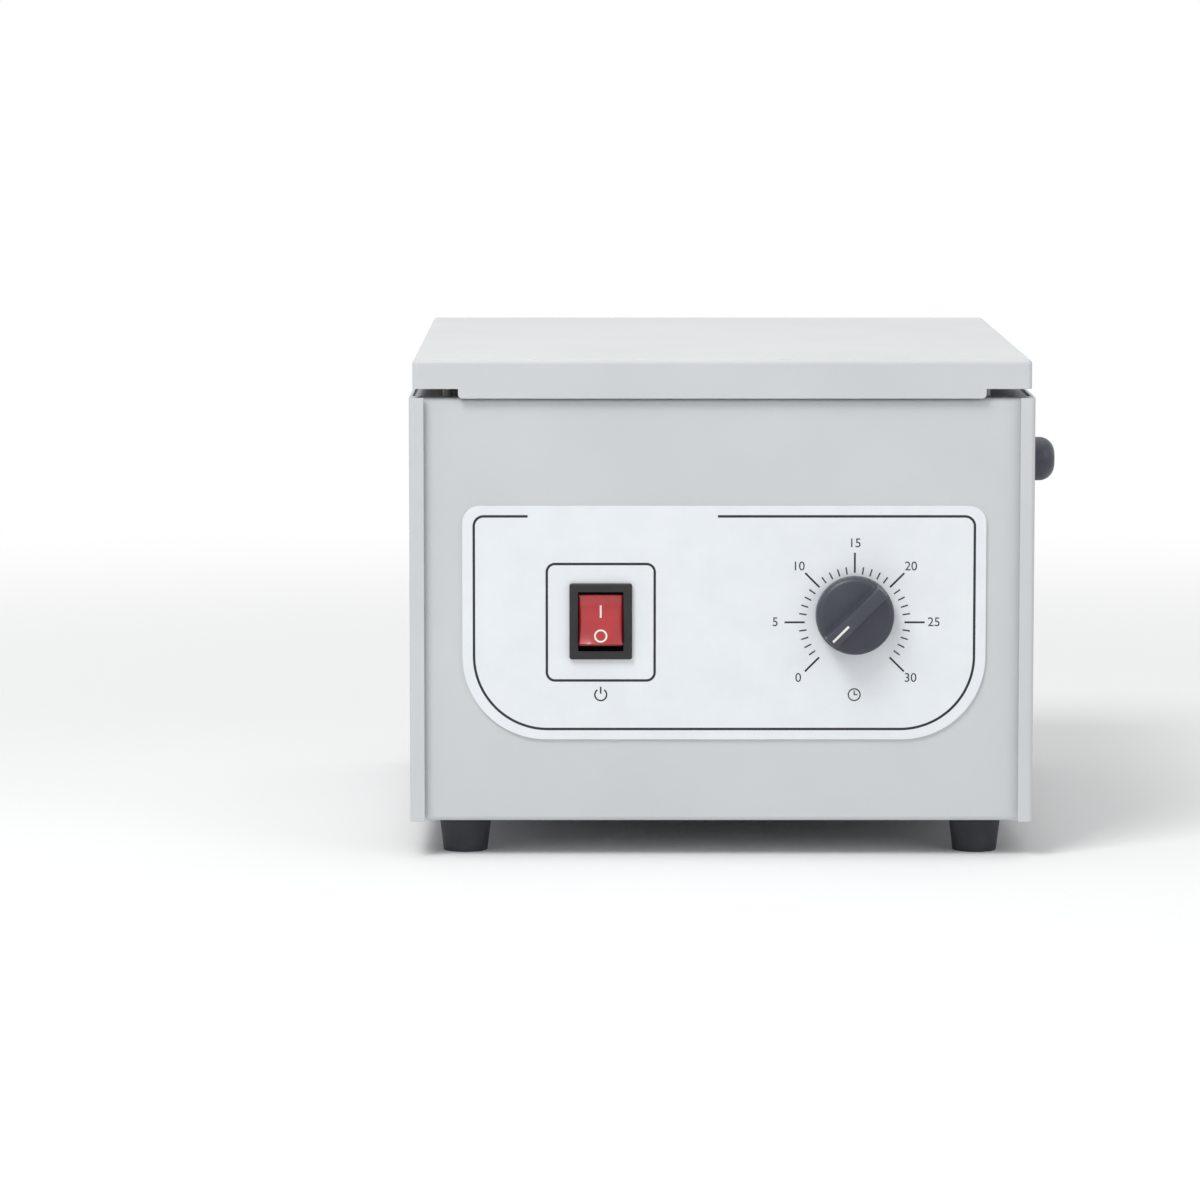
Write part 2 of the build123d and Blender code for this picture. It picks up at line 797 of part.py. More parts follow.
with BuildPart() as hinge_pins:
    for hinge_x in (-hinge_offset, hinge_offset):
        with BuildSketch(facing_right(hinge_x, hinge_y, hinge_z)):
            Circle(hinge_pin_radius)
        extrude(amount=hinge_length / 2, both=True)
        with BuildSketch(
            facing_left(hinge_x - hinge_length / 2, hinge_y, hinge_z),
            facing_right(hinge_x + hinge_length / 2, hinge_y, hinge_z),
        ):
            Circle(pin_head_radius)
        extrude(amount=pin_head_height)
write(hinge_pins.part, "hinge_pins")

# ---- Lid lock ----

lock_bush_length = sheet + lock_nut_height + lock_bush_flange_thickness
lock_face = facing_right(case_width / 2, lock_y, lock_z)

with BuildPart() as lock_bush:
    with BuildSketch(lock_face):
        Circle(lock_bush_flange)
    extrude(amount=lock_bush_flange_thickness)
    with BuildSketch(lock_face):
        Circle(lock_bush_radius)
    extrude(amount=-lock_bush_length)
    with BuildSketch(lock_face):
        Circle(lock_spindle_radius + spindle_clearance)
    extrude(amount=lock_bush_length, both=True, mode=Mode.SUBTRACT)
write(lock_bush.part, "lock_bush")

with BuildPart() as lock_nut:
    with BuildSketch(lock_face.offset(-sheet)):
        RegularPolygon(lock_bush_flange, 6, major_radius=False)
        Circle(lock_bush_radius, mode=Mode.SUBTRACT)
    extrude(amount=-lock_nut_height)
write(lock_nut.part, "lock_nut")

with BuildPart() as lock_knob:
    with BuildSketch(facing_right(lock_knob_back, lock_y, lock_z)):
        Circle(lock_knob_radius)
    extrude(amount=lock_knob_length)
    fillet(lock_knob.edges().filter_by(GeomType.CIRCLE).sort_by(Axis.X)[-1], lock_knob_radius * 0.7)
    fillet(lock_knob.edges().filter_by(GeomType.CIRCLE).sort_by(Axis.X)[0], lock_knob_gap)
    with BuildSketch(facing_right(lock_knob_back, lock_y, lock_z)):
        Circle(lock_spindle_radius)
    extrude(amount=lock_knob_length / 2, mode=Mode.SUBTRACT)
write(lock_knob.part, "lock_knob")

with BuildPart() as lock_spindle:
    with BuildSketch(facing_right(cam_x - 1, lock_y, lock_z)):
        Circle(lock_spindle_radius)
    extrude(amount=lock_knob_back + lock_knob_length / 2 - cam_x + 1)
write(lock_spindle.part, "lock_spindle")

# Cam: points up while the lid is free, and turns forward over the catch's tab.
with BuildPart() as lock_cam:
    with BuildSketch(facing_right(cam_x, lock_y, lock_z)):
        Circle(cam_hub_radius)
        with Locations((0, (cam_length - cam_width / 2) / 2)):
            Rectangle(cam_width, cam_length - cam_width / 2)
        with Locations((0, cam_length - cam_width / 2)):
            Circle(cam_width / 2)
        Circle(lock_spindle_radius, mode=Mode.SUBTRACT)
    extrude(amount=cam_thickness)
write(lock_cam.part, "lock_cam")

# ---- Lid switch ----

with BuildPart() as lid_switch:
    with BuildSketch(level(deck_under, lid_switch_x, lid_switch_y)):
        RectangleRounded(lid_switch_width, lid_switch_depth, bend)
    extrude(amount=-lid_switch_height)
    with BuildSketch(level(deck_under, lid_switch_x, lid_switch_y)):
        Circle(plunger_radius + spindle_clearance)
    extrude(amount=-plunger_bore_depth, mode=Mode.SUBTRACT)
write(lid_switch.part, "lid_switch")

with BuildPart() as lid_switch_plunger:
    with BuildSketch(level(liner_under - soft_gap, lid_switch_x, lid_switch_y)):
        Circle(plunger_radius)
    extrude(amount=-plunger_length)
    fillet(lid_switch_plunger.edges().group_by(Axis.Z)[-1], plunger_radius / 2)
write(lid_switch_plunger.part, "lid_switch_plunger")

# ---- Control panel ----

with BuildPart() as control_label:
    with BuildSketch(facing_front(panel_face, label_x, label_z)) as label_outline:
        Rectangle(label_width, label_height)
        fillet(label_outline.vertices().group_by(Axis.Y)[0], label_bottom_corner)
        fillet(label_outline.vertices().group_by(Axis.Y)[-1], label_top_corner)
        with Locations((switch_x - label_x, switch_z - label_z)):
            Rectangle(
                switch_body_width + 2 * screw_clearance,
                switch_body_height + 2 * screw_clearance,
                mode=Mode.SUBTRACT,
            )
        with Locations((timer_x - label_x, timer_z - label_z)):
            Circle(timer_bush_radius + screw_clearance, mode=Mode.SUBTRACT)
    extrude(amount=label_thickness)
write(control_label.part, "control_label")

# Switch housing: a bezel on the label and a body through the panel, with a well for the rocker.
switch_face = facing_front(label_face, switch_x, switch_z)
pivot_y = label_face + rocker_pivot_depth
with BuildPart() as switch_housing:
    with BuildSketch(switch_face):
        RectangleRounded(bezel_width, bezel_height, bezel_thickness / 2)
    extrude(amount=bezel_thickness)
    chamfer(switch_housing.faces().sort_by(Axis.Y)[0].edges(), bezel_thickness / 4)
    with BuildSketch(switch_face):
        Rectangle(switch_body_width, switch_body_height)
    extrude(amount=-switch_body_depth)
    with BuildSketch(switch_face.offset(bezel_thickness)):
        Rectangle(well_width, well_height)
    extrude(amount=-well_depth, mode=Mode.SUBTRACT)
    with BuildSketch(facing_right(switch_x, pivot_y, switch_z)):
        Circle(pivot_radius + pivot_clearance)
    extrude(amount=rocker_width / 2 + pivot_length + soft_gap, both=True, mode=Mode.SUBTRACT)
write(switch_housing.part, "switch_housing")

# Rocker: its upper half is pressed in, which is on.
with BuildPart() as power_rocker:
    with BuildSketch(facing_right(switch_x, pivot_y, switch_z)) as rocker:
        Polygon(
            (-rocker_middle, 0),
            (-rocker_nose, -rocker_height / 2),
            (rocker_heel, -rocker_height / 3),
            (rocker_heel, rocker_height / 3),
            (-rocker_nose, rocker_height / 2),
            rotation=-rocker_tilt,
            align=None,
        )
        fillet(rocker.vertices(), pivot_radius / 2)
    extrude(amount=rocker_width / 2, both=True)
    with BuildSketch(facing_right(switch_x, pivot_y, switch_z)):
        Circle(pivot_radius)
    extrude(amount=rocker_width / 2 + pivot_length, both=True)
write(power_rocker.part, "power_rocker")

timer_back = panel_back + timer_case_depth
with BuildPart() as timer_case:
    with BuildSketch(facing_front(panel_back, timer_x, timer_z)):
        RectangleRounded(timer_case_size, timer_case_size, bend)
    extrude(amount=-timer_case_depth)
    with BuildSketch(facing_front(panel_back, timer_x, timer_z)):
        Circle(timer_bush_radius)
    extrude(amount=timer_bush_length)
    with BuildSketch(facing_front(panel_back - timer_bush_length, timer_x, timer_z)):
        Circle(timer_spindle_radius + spindle_clearance)
    extrude(amount=-timer_bush_length - timer_spindle_depth, mode=Mode.SUBTRACT)
write(timer_case.part, "timer_case")

with BuildPart() as timer_nut:
    with BuildSketch(facing_front(label_face, timer_x, timer_z)):
        RegularPolygon(timer_nut_radius, 6)
        Circle(timer_bush_radius, mode=Mode.SUBTRACT)
    extrude(amount=timer_nut_height)
write(timer_nut.part, "timer_nut")

# Timer spindle: round as far as the knob's recess, then with two flats that turn the knob's bar.
pointer = (cos(radians(dial_start_angle)), 0, sin(radians(dial_start_angle)))
spindle_reach = (knob_height + knob_skirt_height) / 2
flats_start = knob_back - knob_recess_depth + soft_gap
flats_length = spindle_reach - knob_recess_depth + soft_gap
flats_across = grip_tail_width - 2 * grip_wall
flats_plane = Plane(facing_front(flats_start, timer_x, timer_z).origin, x_dir=pointer, z_dir=(0, -1, 0))
with BuildPart() as timer_spindle:
    with BuildSketch(facing_front(flats_start, timer_x, timer_z)):
        Circle(timer_spindle_radius)
    extrude(amount=flats_start - panel_back - timer_spindle_depth + soft_gap)
    with BuildSketch(flats_plane):
        Circle(timer_spindle_radius)
        Rectangle(2 * timer_spindle_radius, flats_across, mode=Mode.INTERSECT)
    extrude(amount=flats_length)
write(timer_spindle.part, "timer_spindle")

# Timer knob: a round skirt with a bar across it, whose wider end carries the pointer.
with BuildPart() as timer_knob:
    with BuildSketch(facing_front(knob_back, timer_x, timer_z)):
        Circle(knob_radius)
    extrude(amount=knob_skirt_height)
    fillet(timer_knob.edges().filter_by(GeomType.CIRCLE).sort_by(Axis.Y)[0], bend)
    grip_origin = facing_front(knob_back - knob_skirt_height + bend, timer_x, timer_z).origin
    with BuildSketch(Plane(grip_origin, x_dir=pointer, z_dir=(0, -1, 0))):
        Polygon(
            (-grip_back, -grip_tail_width / 2),
            (grip_front, -grip_head_width / 2),
            (grip_front, grip_head_width / 2),
            (-grip_back, grip_tail_width / 2),
            align=None,
        )
    extrude(amount=knob_height - knob_skirt_height + bend)
    fillet(timer_knob.faces().sort_by(Axis.Y)[0].edges(), bend / 3)
    with BuildSketch(facing_front(knob_back, timer_x, timer_z)):
        Circle(knob_recess_radius)
    extrude(amount=knob_recess_depth, mode=Mode.SUBTRACT)
    with BuildSketch(flats_plane):
        Circle(timer_spindle_radius)
        Rectangle(2 * timer_spindle_radius, flats_across, mode=Mode.INTERSECT)
    extrude(amount=flats_length, mode=Mode.SUBTRACT)
write(timer_knob.part, "timer_knob")

# Blade terminals of the power switch, the timer and the lid switch.
power_blades = [
    facing_back(label_face + switch_body_depth, switch_x + x, switch_z + z)
    for x in (-switch_blade_pitch / 2, switch_blade_pitch / 2)
    for z in (-switch_blade_pitch / 2, switch_blade_pitch / 2)
]
timer_blades = [
    facing_back(timer_back, timer_x + x, timer_z) for x in (-switch_blade_pitch, switch_blade_pitch)
]
lid_switch_blades = [
    level(deck_under - lid_switch_height, lid_switch_x, lid_switch_y + y)
    for y in (-switch_blade_pitch, switch_blade_pitch)
]
with BuildPart() as blade_terminals:
    with BuildSketch(*power_blades, *timer_blades):
        Rectangle(blade_thickness, blade_width)
    extrude(amount=blade_length)
    with BuildSketch(*lid_switch_blades):
        Rectangle(blade_width, blade_thickness)
    extrude(amount=-blade_length)
write(blade_terminals.part, "blade_terminals")

# ---- Motor ----

mount_planes = [
    level(floor_top, x, rotor_y + y)
    for x in (-mount_spacing_x / 2, mount_spacing_x / 2)
    for y in (-mount_spacing_y / 2, mount_spacing_y / 2)
]
with BuildPart() as vibration_mounts:
    with BuildSketch(*mount_planes):
        Circle(mount_radius)
    extrude(amount=mount_height)
    with BuildSketch(*[plane.offset(mount_height / 4) for plane in mount_planes]):
        Circle(mount_radius + 1)
        Circle(mount_radius * 0.8, mode=Mode.SUBTRACT)
    extrude(amount=mount_height / 2, mode=Mode.SUBTRACT)
write(vibration_mounts.part, "vibration_mounts")

bolt_planes = round_the_rotor(motor_top, motor_bolt_circle, motor_bolt_count, 45)
motor_bolt_length = motor_top - bracket_under
with BuildPart() as motor_bracket:
    with BuildSketch(rotor_level(bracket_under)):
        RectangleRounded(bracket_width, bracket_depth, bracket_corner)
        Circle(bracket_hole_radius, mode=Mode.SUBTRACT)
    extrude(amount=bracket_thickness)
    with BuildSketch(*bolt_planes):
        Circle(motor_bolt_radius + screw_clearance)
    extrude(amount=-motor_bolt_length, mode=Mode.SUBTRACT)
write(motor_bracket.part, "motor_bracket")


def end_cap(outer_face, direction):
    """Motor end cap with a bearing seat, open towards the stator, from its outer face."""
    height = upper_cap_height if direction < 0 else lower_cap_height
    with BuildPart() as cap:
        with BuildSketch(rotor_level(outer_face)):
            Circle(motor_radius)
        extrude(amount=direction * height)
        with BuildSketch(rotor_level(outer_face + direction * cap_bore_wall)):
            Circle(motor_radius - cap_bore_wall)
            Circle(bearing_radius + cap_bore_wall, mode=Mode.SUBTRACT)
        extrude(amount=direction * height, mode=Mode.SUBTRACT)
        with BuildSketch(rotor_level(outer_face + direction * (height - bearing_height))):
            Circle(bearing_radius)
        extrude(amount=direction * height, mode=Mode.SUBTRACT)
        with BuildSketch(rotor_level(outer_face)):
            Circle(shaft_radius + 1)
            with PolarLocations((bearing_radius + motor_radius) / 2, 6):
                Circle(cap_bore_wall)
        extrude(amount=direction * height, mode=Mode.SUBTRACT)
        with BuildSketch(*bolt_planes):
            Circle(motor_bolt_radius + screw_clearance)
        extrude(amount=-motor_bolt_length, mode=Mode.SUBTRACT)
    return cap.part


write(end_cap(motor_bottom, 1), "motor_end_cap_lower")
write(end_cap(motor_top, -1), "motor_end_cap_upper")

with BuildPart() as motor_stator:
    with BuildSketch(rotor_level(stator_bottom)):
        Circle(motor_radius)
        Circle(stator_bore_radius, mode=Mode.SUBTRACT)
    extrude(amount=stator_height)
    with BuildSketch(*bolt_planes):
        Circle(motor_bolt_radius + screw_clearance)
    extrude(amount=-motor_bolt_length, mode=Mode.SUBTRACT)
write(motor_stator.part, "motor_stator")

winding_outer = motor_bolt_circle - motor_bolt_radius - air_gap
winding_height = lower_cap_height - cap_bore_wall - air_gap
with BuildPart() as stator_windings:
    with BuildSketch(rotor_level(stator_bottom - winding_height), rotor_level(stator_top)):
        Circle(winding_outer)
        Circle(stator_bore_radius + air_gap, mode=Mode.SUBTRACT)
    extrude(amount=winding_height)
write(stator_windings.part, "stator_windings")

with BuildPart() as motor_bolts:
    with BuildSketch(*bolt_planes):
        Circle(motor_bolt_head)
    extrude(amount=motor_bolt_head_height)
    with BuildSketch(*bolt_planes):
        Circle(motor_bolt_radius)
    extrude(amount=-motor_bolt_length - motor_bolt_head_height)
    with BuildSketch(*[plane.offset(-motor_bolt_length) for plane in bolt_planes]):
        RegularPolygon(motor_bolt_head, 6)
    extrude(amount=-motor_bolt_head_height)
write(motor_bolts.part, "motor_bolts")

with BuildPart() as motor_bearings:
    with BuildSketch(rotor_level(stator_bottom - bearing_height), rotor_level(stator_top)):
        Circle(bearing_radius)
        Circle(shaft_radius + bearing_clearance, mode=Mode.SUBTRACT)
    extrude(amount=bearing_height)
write(motor_bearings.part, "motor_bearings")

with BuildPart() as motor_shaft:
    with BuildSketch(rotor_level(shaft_bottom)):
        Circle(shaft_radius)
    extrude(amount=head_hub_top - shaft_bottom)
    with BuildSketch(rotor_level(head_hub_top)):
        Circle(shaft_thread_radius)
    extrude(amount=thread_reach)
write(motor_shaft.part, "motor_shaft")

with BuildPart() as motor_armature:
    with BuildSketch(rotor_level(stator_bottom + armature_margin)):
        Circle(stator_bore_radius - air_gap)
        Circle(shaft_radius, mode=Mode.SUBTRACT)
    extrude(amount=stator_height - 2 * armature_margin)
write(motor_armature.part, "motor_armature")

blade_root = fan_hub_radius - fan_blade_thickness
with BuildPart() as cooling_fan:
    with BuildSketch(rotor_level(fan_bottom)):
        Circle(fan_hub_radius)
        with PolarLocations((blade_root + fan_radius) / 2, fan_blades):
            Rectangle(fan_radius - blade_root, fan_blade_thickness)
    extrude(amount=fan_height)
    with BuildSketch(rotor_level(fan_bottom + fan_height - fan_blade_thickness)):
        Circle(fan_radius - fan_blade_thickness)
    extrude(amount=fan_blade_thickness)
    with BuildSketch(rotor_level(fan_bottom)):
        Circle(shaft_radius)
    extrude(amount=fan_height, mode=Mode.SUBTRACT)
write(cooling_fan.part, "cooling_fan")

# Boot: rubber bush between the motor's upper cap and the hole in the bowl.
with BuildPart() as bowl_boot:
    with BuildSketch(rotor_level(motor_top)):
        Circle(boot_flange_radius)
    extrude(amount=boot_height)
    with BuildSketch(rotor_level(motor_top + boot_flange_height)):
        Circle(boot_flange_radius + 1)
        Circle(boot_waist_radius, mode=Mode.SUBTRACT)
    extrude(amount=boot_height - 2 * boot_flange_height, mode=Mode.SUBTRACT)
    with BuildSketch(rotor_level(motor_top)):
        Circle(boot_waist_radius - boot_wall)
    extrude(amount=boot_height, mode=Mode.SUBTRACT)
write(bowl_boot.part, "bowl_boot")

# ---- Rotor ----


def sleeve_planes(out=0.0):
    """Planes across the sleeves' mouths, with their normals out of the mouths."""
    planes = []
    for i in range(place_count):
        angle = radians(360 / place_count * i + 30)
        axis = Vector(
            -sin(radians(sleeve_tilt)) * cos(angle),
            -sin(radians(sleeve_tilt)) * sin(angle),
            cos(radians(sleeve_tilt)),
        )
        mouth = rotor_level(mouth_z, mouth_radius, 360 / place_count * i + 30).origin
        planes.append(Plane(mouth + axis * out, x_dir=(-sin(angle), cos(angle), 0), z_dir=axis))
    return planes


tilt_cos = cos(radians(sleeve_tilt))
tilt_tan = sin(radians(sleeve_tilt)) / tilt_cos
dish_r = mouth_radius - seat_depth * sin(radians(sleeve_tilt))
dish_z = mouth_z + seat_depth * tilt_cos
dish_drop = head_thickness / tilt_cos


def dish_height(radius):
    """Height of the rotor head's dished top at a radius."""
    return dish_z + (radius - dish_r) * tilt_tan


# Rotor head: a hub and a dished plate square to the sleeves, with a seat for each collar.
with BuildPart() as rotor_head:
    with BuildSketch(rotor_profile):
        with BuildLine():
            Polyline(
                (shaft_radius, head_hub_bottom),
                (head_hub_radius, head_hub_bottom),
                (head_hub_radius, dish_height(head_hub_radius) - dish_drop),
                (head_rim_radius, dish_height(head_rim_radius) - dish_drop),
                (head_rim_radius, dish_height(head_rim_radius)),
                (dish_r + (head_hub_top - dish_z) / tilt_tan, head_hub_top),
                (shaft_radius, head_hub_top),
                close=True,
            )
        make_face()
    revolve(axis=rotor_axis)
    with BuildSketch(*sleeve_planes()):
        Circle(collar_radius + seat_clearance)
    extrude(amount=head_thickness, mode=Mode.SUBTRACT)
    with BuildSketch(*sleeve_planes()):
        Circle(sleeve_radius + sleeve_hole_clearance)
    extrude(amount=-2 * head_thickness, mode=Mode.SUBTRACT)
write(rotor_head.part, "rotor_head")

with BuildPart() as tube_sleeves:
    with BuildSketch(*sleeve_planes()):
        Circle(collar_radius)
    extrude(amount=collar_height)
    with BuildSketch(*sleeve_planes()):
        Circle(sleeve_radius)
    extrude(amount=-sleeve_length)
    with BuildSketch(*sleeve_planes(collar_height)):
        Circle(sleeve_bore_radius)
    extrude(amount=cushion_pocket + sleeve_floor - sleeve_length - collar_height, mode=Mode.SUBTRACT)
    with BuildSketch(*sleeve_planes(sleeve_floor - sleeve_length)):
        Circle(cushion_radius + sleeve_hole_clearance)
    extrude(amount=cushion_pocket, mode=Mode.SUBTRACT)
write(tube_sleeves.part, "tube_sleeves")

with BuildPart() as sleeve_cushions:
    with BuildSketch(*sleeve_planes(sleeve_floor - sleeve_length)):
        Circle(cushion_radius)
    extrude(amount=cushion_height)
write(sleeve_cushions.part, "sleeve_cushions")

with BuildPart() as rotor_nut:
    with BuildSketch(rotor_level(head_hub_top)):
        Circle(nut_radius)
    extrude(amount=nut_height)
    fillet(rotor_nut.edges().group_by(Axis.Z)[-1], nut_dome)
    with BuildSketch(rotor_level(head_hub_top)):
        with PolarLocations(nut_radius + nut_grip_radius / 2, nut_grips):
            Circle(nut_grip_radius)
    extrude(amount=nut_height, mode=Mode.SUBTRACT)
    with BuildSketch(rotor_level(head_hub_top)):
        Circle(shaft_thread_radius)
    extrude(amount=thread_reach, mode=Mode.SUBTRACT)
write(rotor_nut.part, "rotor_nut")

# ---- Mains inlet ----

inlet_plane = facing_back(case_back, inlet_x, inlet_z)
inlet_front = inlet_plane.offset(inlet_flange_thickness)
with BuildPart() as mains_inlet:
    with BuildSketch(inlet_plane):
        RectangleRounded(inlet_flange_width, inlet_flange_height, inlet_corner)
    extrude(amount=inlet_flange_thickness)
    with BuildSketch(inlet_plane):
        Rectangle(inlet_body_width, inlet_body_height)
    extrude(amount=-inlet_body_depth)
    with BuildSketch(inlet_front) as socket:
        with Locations((0, -socket_drop)):
            Rectangle(socket_width, socket_height)
        chamfer(socket.vertices().group_by(Axis.Y)[-1], socket_chamfer)
    extrude(amount=-socket_depth, mode=Mode.SUBTRACT)
    with BuildSketch(inlet_front):
        with Locations((0, drawer_rise)):
            Rectangle(drawer_width + 2 * drawer_clearance, drawer_height + 2 * drawer_clearance)
    extrude(amount=-drawer_depth - drawer_clearance, mode=Mode.SUBTRACT)
write(mains_inlet.part, "mains_inlet")

with BuildPart() as inlet_pins:
    with BuildSketch(inlet_front.offset(-socket_depth)):
        with Locations((-inlet_pin_pitch / 2, -socket_drop), (inlet_pin_pitch / 2, -socket_drop)):
            Rectangle(inlet_pin_thickness, inlet_pin_width)
        with Locations((0, earth_pin_rise - socket_drop)):
            Rectangle(inlet_pin_thickness, inlet_pin_width)
    extrude(amount=inlet_pin_length)
write(inlet_pins.part, "inlet_pins")

# Fuse drawer: slides straight out of the inlet, with one fuse across it.
fuse_y = case_back + inlet_flange_thickness - drawer_depth / 2
fuse_z = inlet_z + drawer_rise
with BuildPart() as fuse_drawer:
    with BuildSketch(inlet_front):
        with Locations((0, drawer_rise)):
            RectangleRounded(drawer_front_width, drawer_front_height, 1)
    extrude(amount=drawer_front_thickness)
    with BuildSketch(inlet_front):
        with Locations((0, drawer_rise)):
            Rectangle(drawer_width, drawer_height)
    extrude(amount=-drawer_depth)
    with BuildSketch(level(fuse_z + drawer_height / 2, inlet_x, fuse_y)):
        Rectangle(fuse_length, 2 * fuse_radius)
    extrude(amount=-drawer_height / 2, mode=Mode.SUBTRACT)
    with BuildSketch(facing_right(inlet_x, fuse_y, fuse_z)):
        Circle(fuse_radius)
    extrude(amount=fuse_length / 2, both=True, mode=Mode.SUBTRACT)
write(fuse_drawer.part, "fuse_drawer")

with BuildPart() as fuse:
    with BuildSketch(facing_right(inlet_x, fuse_y, fuse_z)):
        Circle(fuse_radius)
    extrude(amount=fuse_length / 2, both=True)
    with BuildSketch(facing_right(inlet_x, fuse_y, fuse_z)):
        Circle(fuse_radius)
        Circle(fuse_radius * 0.9, mode=Mode.SUBTRACT)
    extrude(amount=fuse_length / 2 - fuse_cap_length, both=True, mode=Mode.SUBTRACT)
write(fuse.part, "fuse")

# ---- Run capacitor ----

capacitor_z = floor_top + capacitor_radius
with BuildPart() as run_capacitor:
    with BuildSketch(facing_back(capacitor_y - capacitor_length / 2, capacitor_x, capacitor_z)):
        Circle(capacitor_radius)
    extrude(amount=capacitor_length)
    fillet(run_capacitor.edges().filter_by(GeomType.CIRCLE), bend)
    with BuildSketch(facing_back(capacitor_y + capacitor_length / 2, capacitor_x, capacitor_z)):
        with Locations((-switch_blade_pitch / 2, 0), (switch_blade_pitch / 2, 0)):
            Rectangle(blade_thickness, blade_width)
    extrude(amount=capacitor_terminal_length)
write(run_capacitor.part, "run_capacitor")

strap_outer = capacitor_radius + strap_thickness
with BuildPart() as capacitor_strap:
    with BuildSketch(facing_back(capacitor_y - strap_width / 2, capacitor_x, capacitor_z)):
        Circle(strap_outer)
        with Locations((0, -capacitor_radius / 2)):
            Rectangle(2 * strap_outer, capacitor_radius)
        with Locations((0, strap_thickness / 2 - capacitor_radius)):
            Rectangle(2 * (strap_outer + strap_foot), strap_thickness)
        with Locations((0, -strap_outer)):
            Rectangle(2 * strap_outer, 2 * strap_thickness, mode=Mode.SUBTRACT)
        Circle(capacitor_radius, mode=Mode.SUBTRACT)
        with Locations((0, -capacitor_radius / 2)):
            Rectangle(2 * capacitor_radius, capacitor_radius, mode=Mode.SUBTRACT)
    extrude(amount=strap_width)
write(capacitor_strap.part, "capacitor_strap")

# ---- Wiring ----

power_lead_x = switch_x - switch_blade_pitch / 2
power_lead_z = switch_z - switch_blade_pitch / 2
mains_route = [
    (inlet_x, case_back - inlet_body_depth, inlet_z - socket_drop),
    (inlet_x, 98, inlet_z - socket_drop),
    (-80, 72, 37),
    (-92, 40, 27),
    (-96, 6, 25),
    (-92, -28, 31),
    (-76, -56, 52),
    (power_lead_x, -80, power_lead_z),
    (power_lead_x, label_face + switch_body_depth + blade_length, power_lead_z),
]
motor_angle = radians(-50)
motor_wire_z = 58.0
motor_route = [
    (timer_x + switch_blade_pitch, timer_back + blade_length, timer_z),
    (timer_x + switch_blade_pitch, -86, timer_z),
    (62, -66, 82),
    (56, -48, 66),
    (1.6 * motor_radius * cos(motor_angle), rotor_y + 1.6 * motor_radius * sin(motor_angle), motor_wire_z),
    (motor_radius * cos(motor_angle), rotor_y + motor_radius * sin(motor_angle), motor_wire_z),
]


def corner_radii(points):
    """The largest arcs that a route's runs allow, one for each corner."""
    radii = []
    for before, corner, after in zip(points, points[1:], points[2:]):
        arriving = Vector(*corner) - Vector(*before)
        leaving = Vector(*after) - Vector(*corner)
        half_turn = radians(arriving.get_angle(leaving) / 2)
        shorter = min(arriving.length, leaving.length)
        radii.append(0.45 * shorter * cos(half_turn) / sin(half_turn))
    return radii


# Wiring: the mains lead from inlet to switch, and the motor's lead from the timer.
with BuildPart() as wiring:
    for route in (mains_route, motor_route):
        radii = corner_radii(route)
        print("wire radii", [round(radius) for radius in radii])
        with BuildLine() as run:
            FilletPolyline(*[(case_x + x, case_y + y, z) for x, y, z in route], radius=radii)
        with BuildSketch(Plane(run.line @ 0, z_dir=run.line % 0)):
            Circle(wire_radius)
        sweep()
write(wiring.part, "wiring")
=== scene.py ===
# %% [markdown]
# # A small bench centrifuge
#
# The real instrument is a folded steel case with a shallow lid. A printed label on its front carries a red
# rocker switch and a dial timer. Under the lid, an aluminium head with six tube sleeves spins in a steel bowl.
#
# The imported CAD model already has every solid piece in its place. This script dresses it: it gives each
# piece its finish, and it adds or replaces what needs finer shapes than the solids have, such as screw
# heads, the knob, the rocker and the print on the label.

# %% Load the imported model
import json
from math import cos, pi, radians, sin

import bmesh
import bpy
import numpy as np
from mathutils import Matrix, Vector


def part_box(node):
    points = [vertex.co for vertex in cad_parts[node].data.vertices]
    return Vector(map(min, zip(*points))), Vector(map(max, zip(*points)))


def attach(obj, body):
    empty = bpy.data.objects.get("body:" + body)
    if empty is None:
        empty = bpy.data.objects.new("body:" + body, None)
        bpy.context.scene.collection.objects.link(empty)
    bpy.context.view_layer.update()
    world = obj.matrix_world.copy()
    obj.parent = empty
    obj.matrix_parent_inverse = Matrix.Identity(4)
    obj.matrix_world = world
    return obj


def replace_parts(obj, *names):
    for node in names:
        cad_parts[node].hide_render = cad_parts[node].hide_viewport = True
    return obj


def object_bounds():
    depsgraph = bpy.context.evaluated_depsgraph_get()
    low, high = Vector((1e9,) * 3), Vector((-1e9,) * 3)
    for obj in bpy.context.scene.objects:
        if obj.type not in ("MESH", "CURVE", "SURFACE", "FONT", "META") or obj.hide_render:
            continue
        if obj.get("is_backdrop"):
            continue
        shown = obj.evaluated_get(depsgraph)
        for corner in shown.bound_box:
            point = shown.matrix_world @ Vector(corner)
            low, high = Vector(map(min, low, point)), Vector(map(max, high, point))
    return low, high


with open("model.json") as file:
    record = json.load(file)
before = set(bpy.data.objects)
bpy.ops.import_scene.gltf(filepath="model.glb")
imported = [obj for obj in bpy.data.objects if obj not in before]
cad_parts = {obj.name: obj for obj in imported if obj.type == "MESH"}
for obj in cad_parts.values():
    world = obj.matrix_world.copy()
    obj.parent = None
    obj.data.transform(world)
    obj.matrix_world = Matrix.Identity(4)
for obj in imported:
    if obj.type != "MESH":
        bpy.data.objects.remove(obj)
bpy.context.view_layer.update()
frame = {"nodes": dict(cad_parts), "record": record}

MM = 0.001
nodes = frame["nodes"]

# %% [markdown]
# ## Where things are
#
# Nearly every place in the dressing is worked out from the CAD boxes, so it follows the model if a size
# changes. The lid spans the case from side to side and from front to back, so its middle is the middle of the
# case. The dial is printed a little lower than the timer's axis, as labels seldom sit true.

# %% Places worked out from the CAD boxes


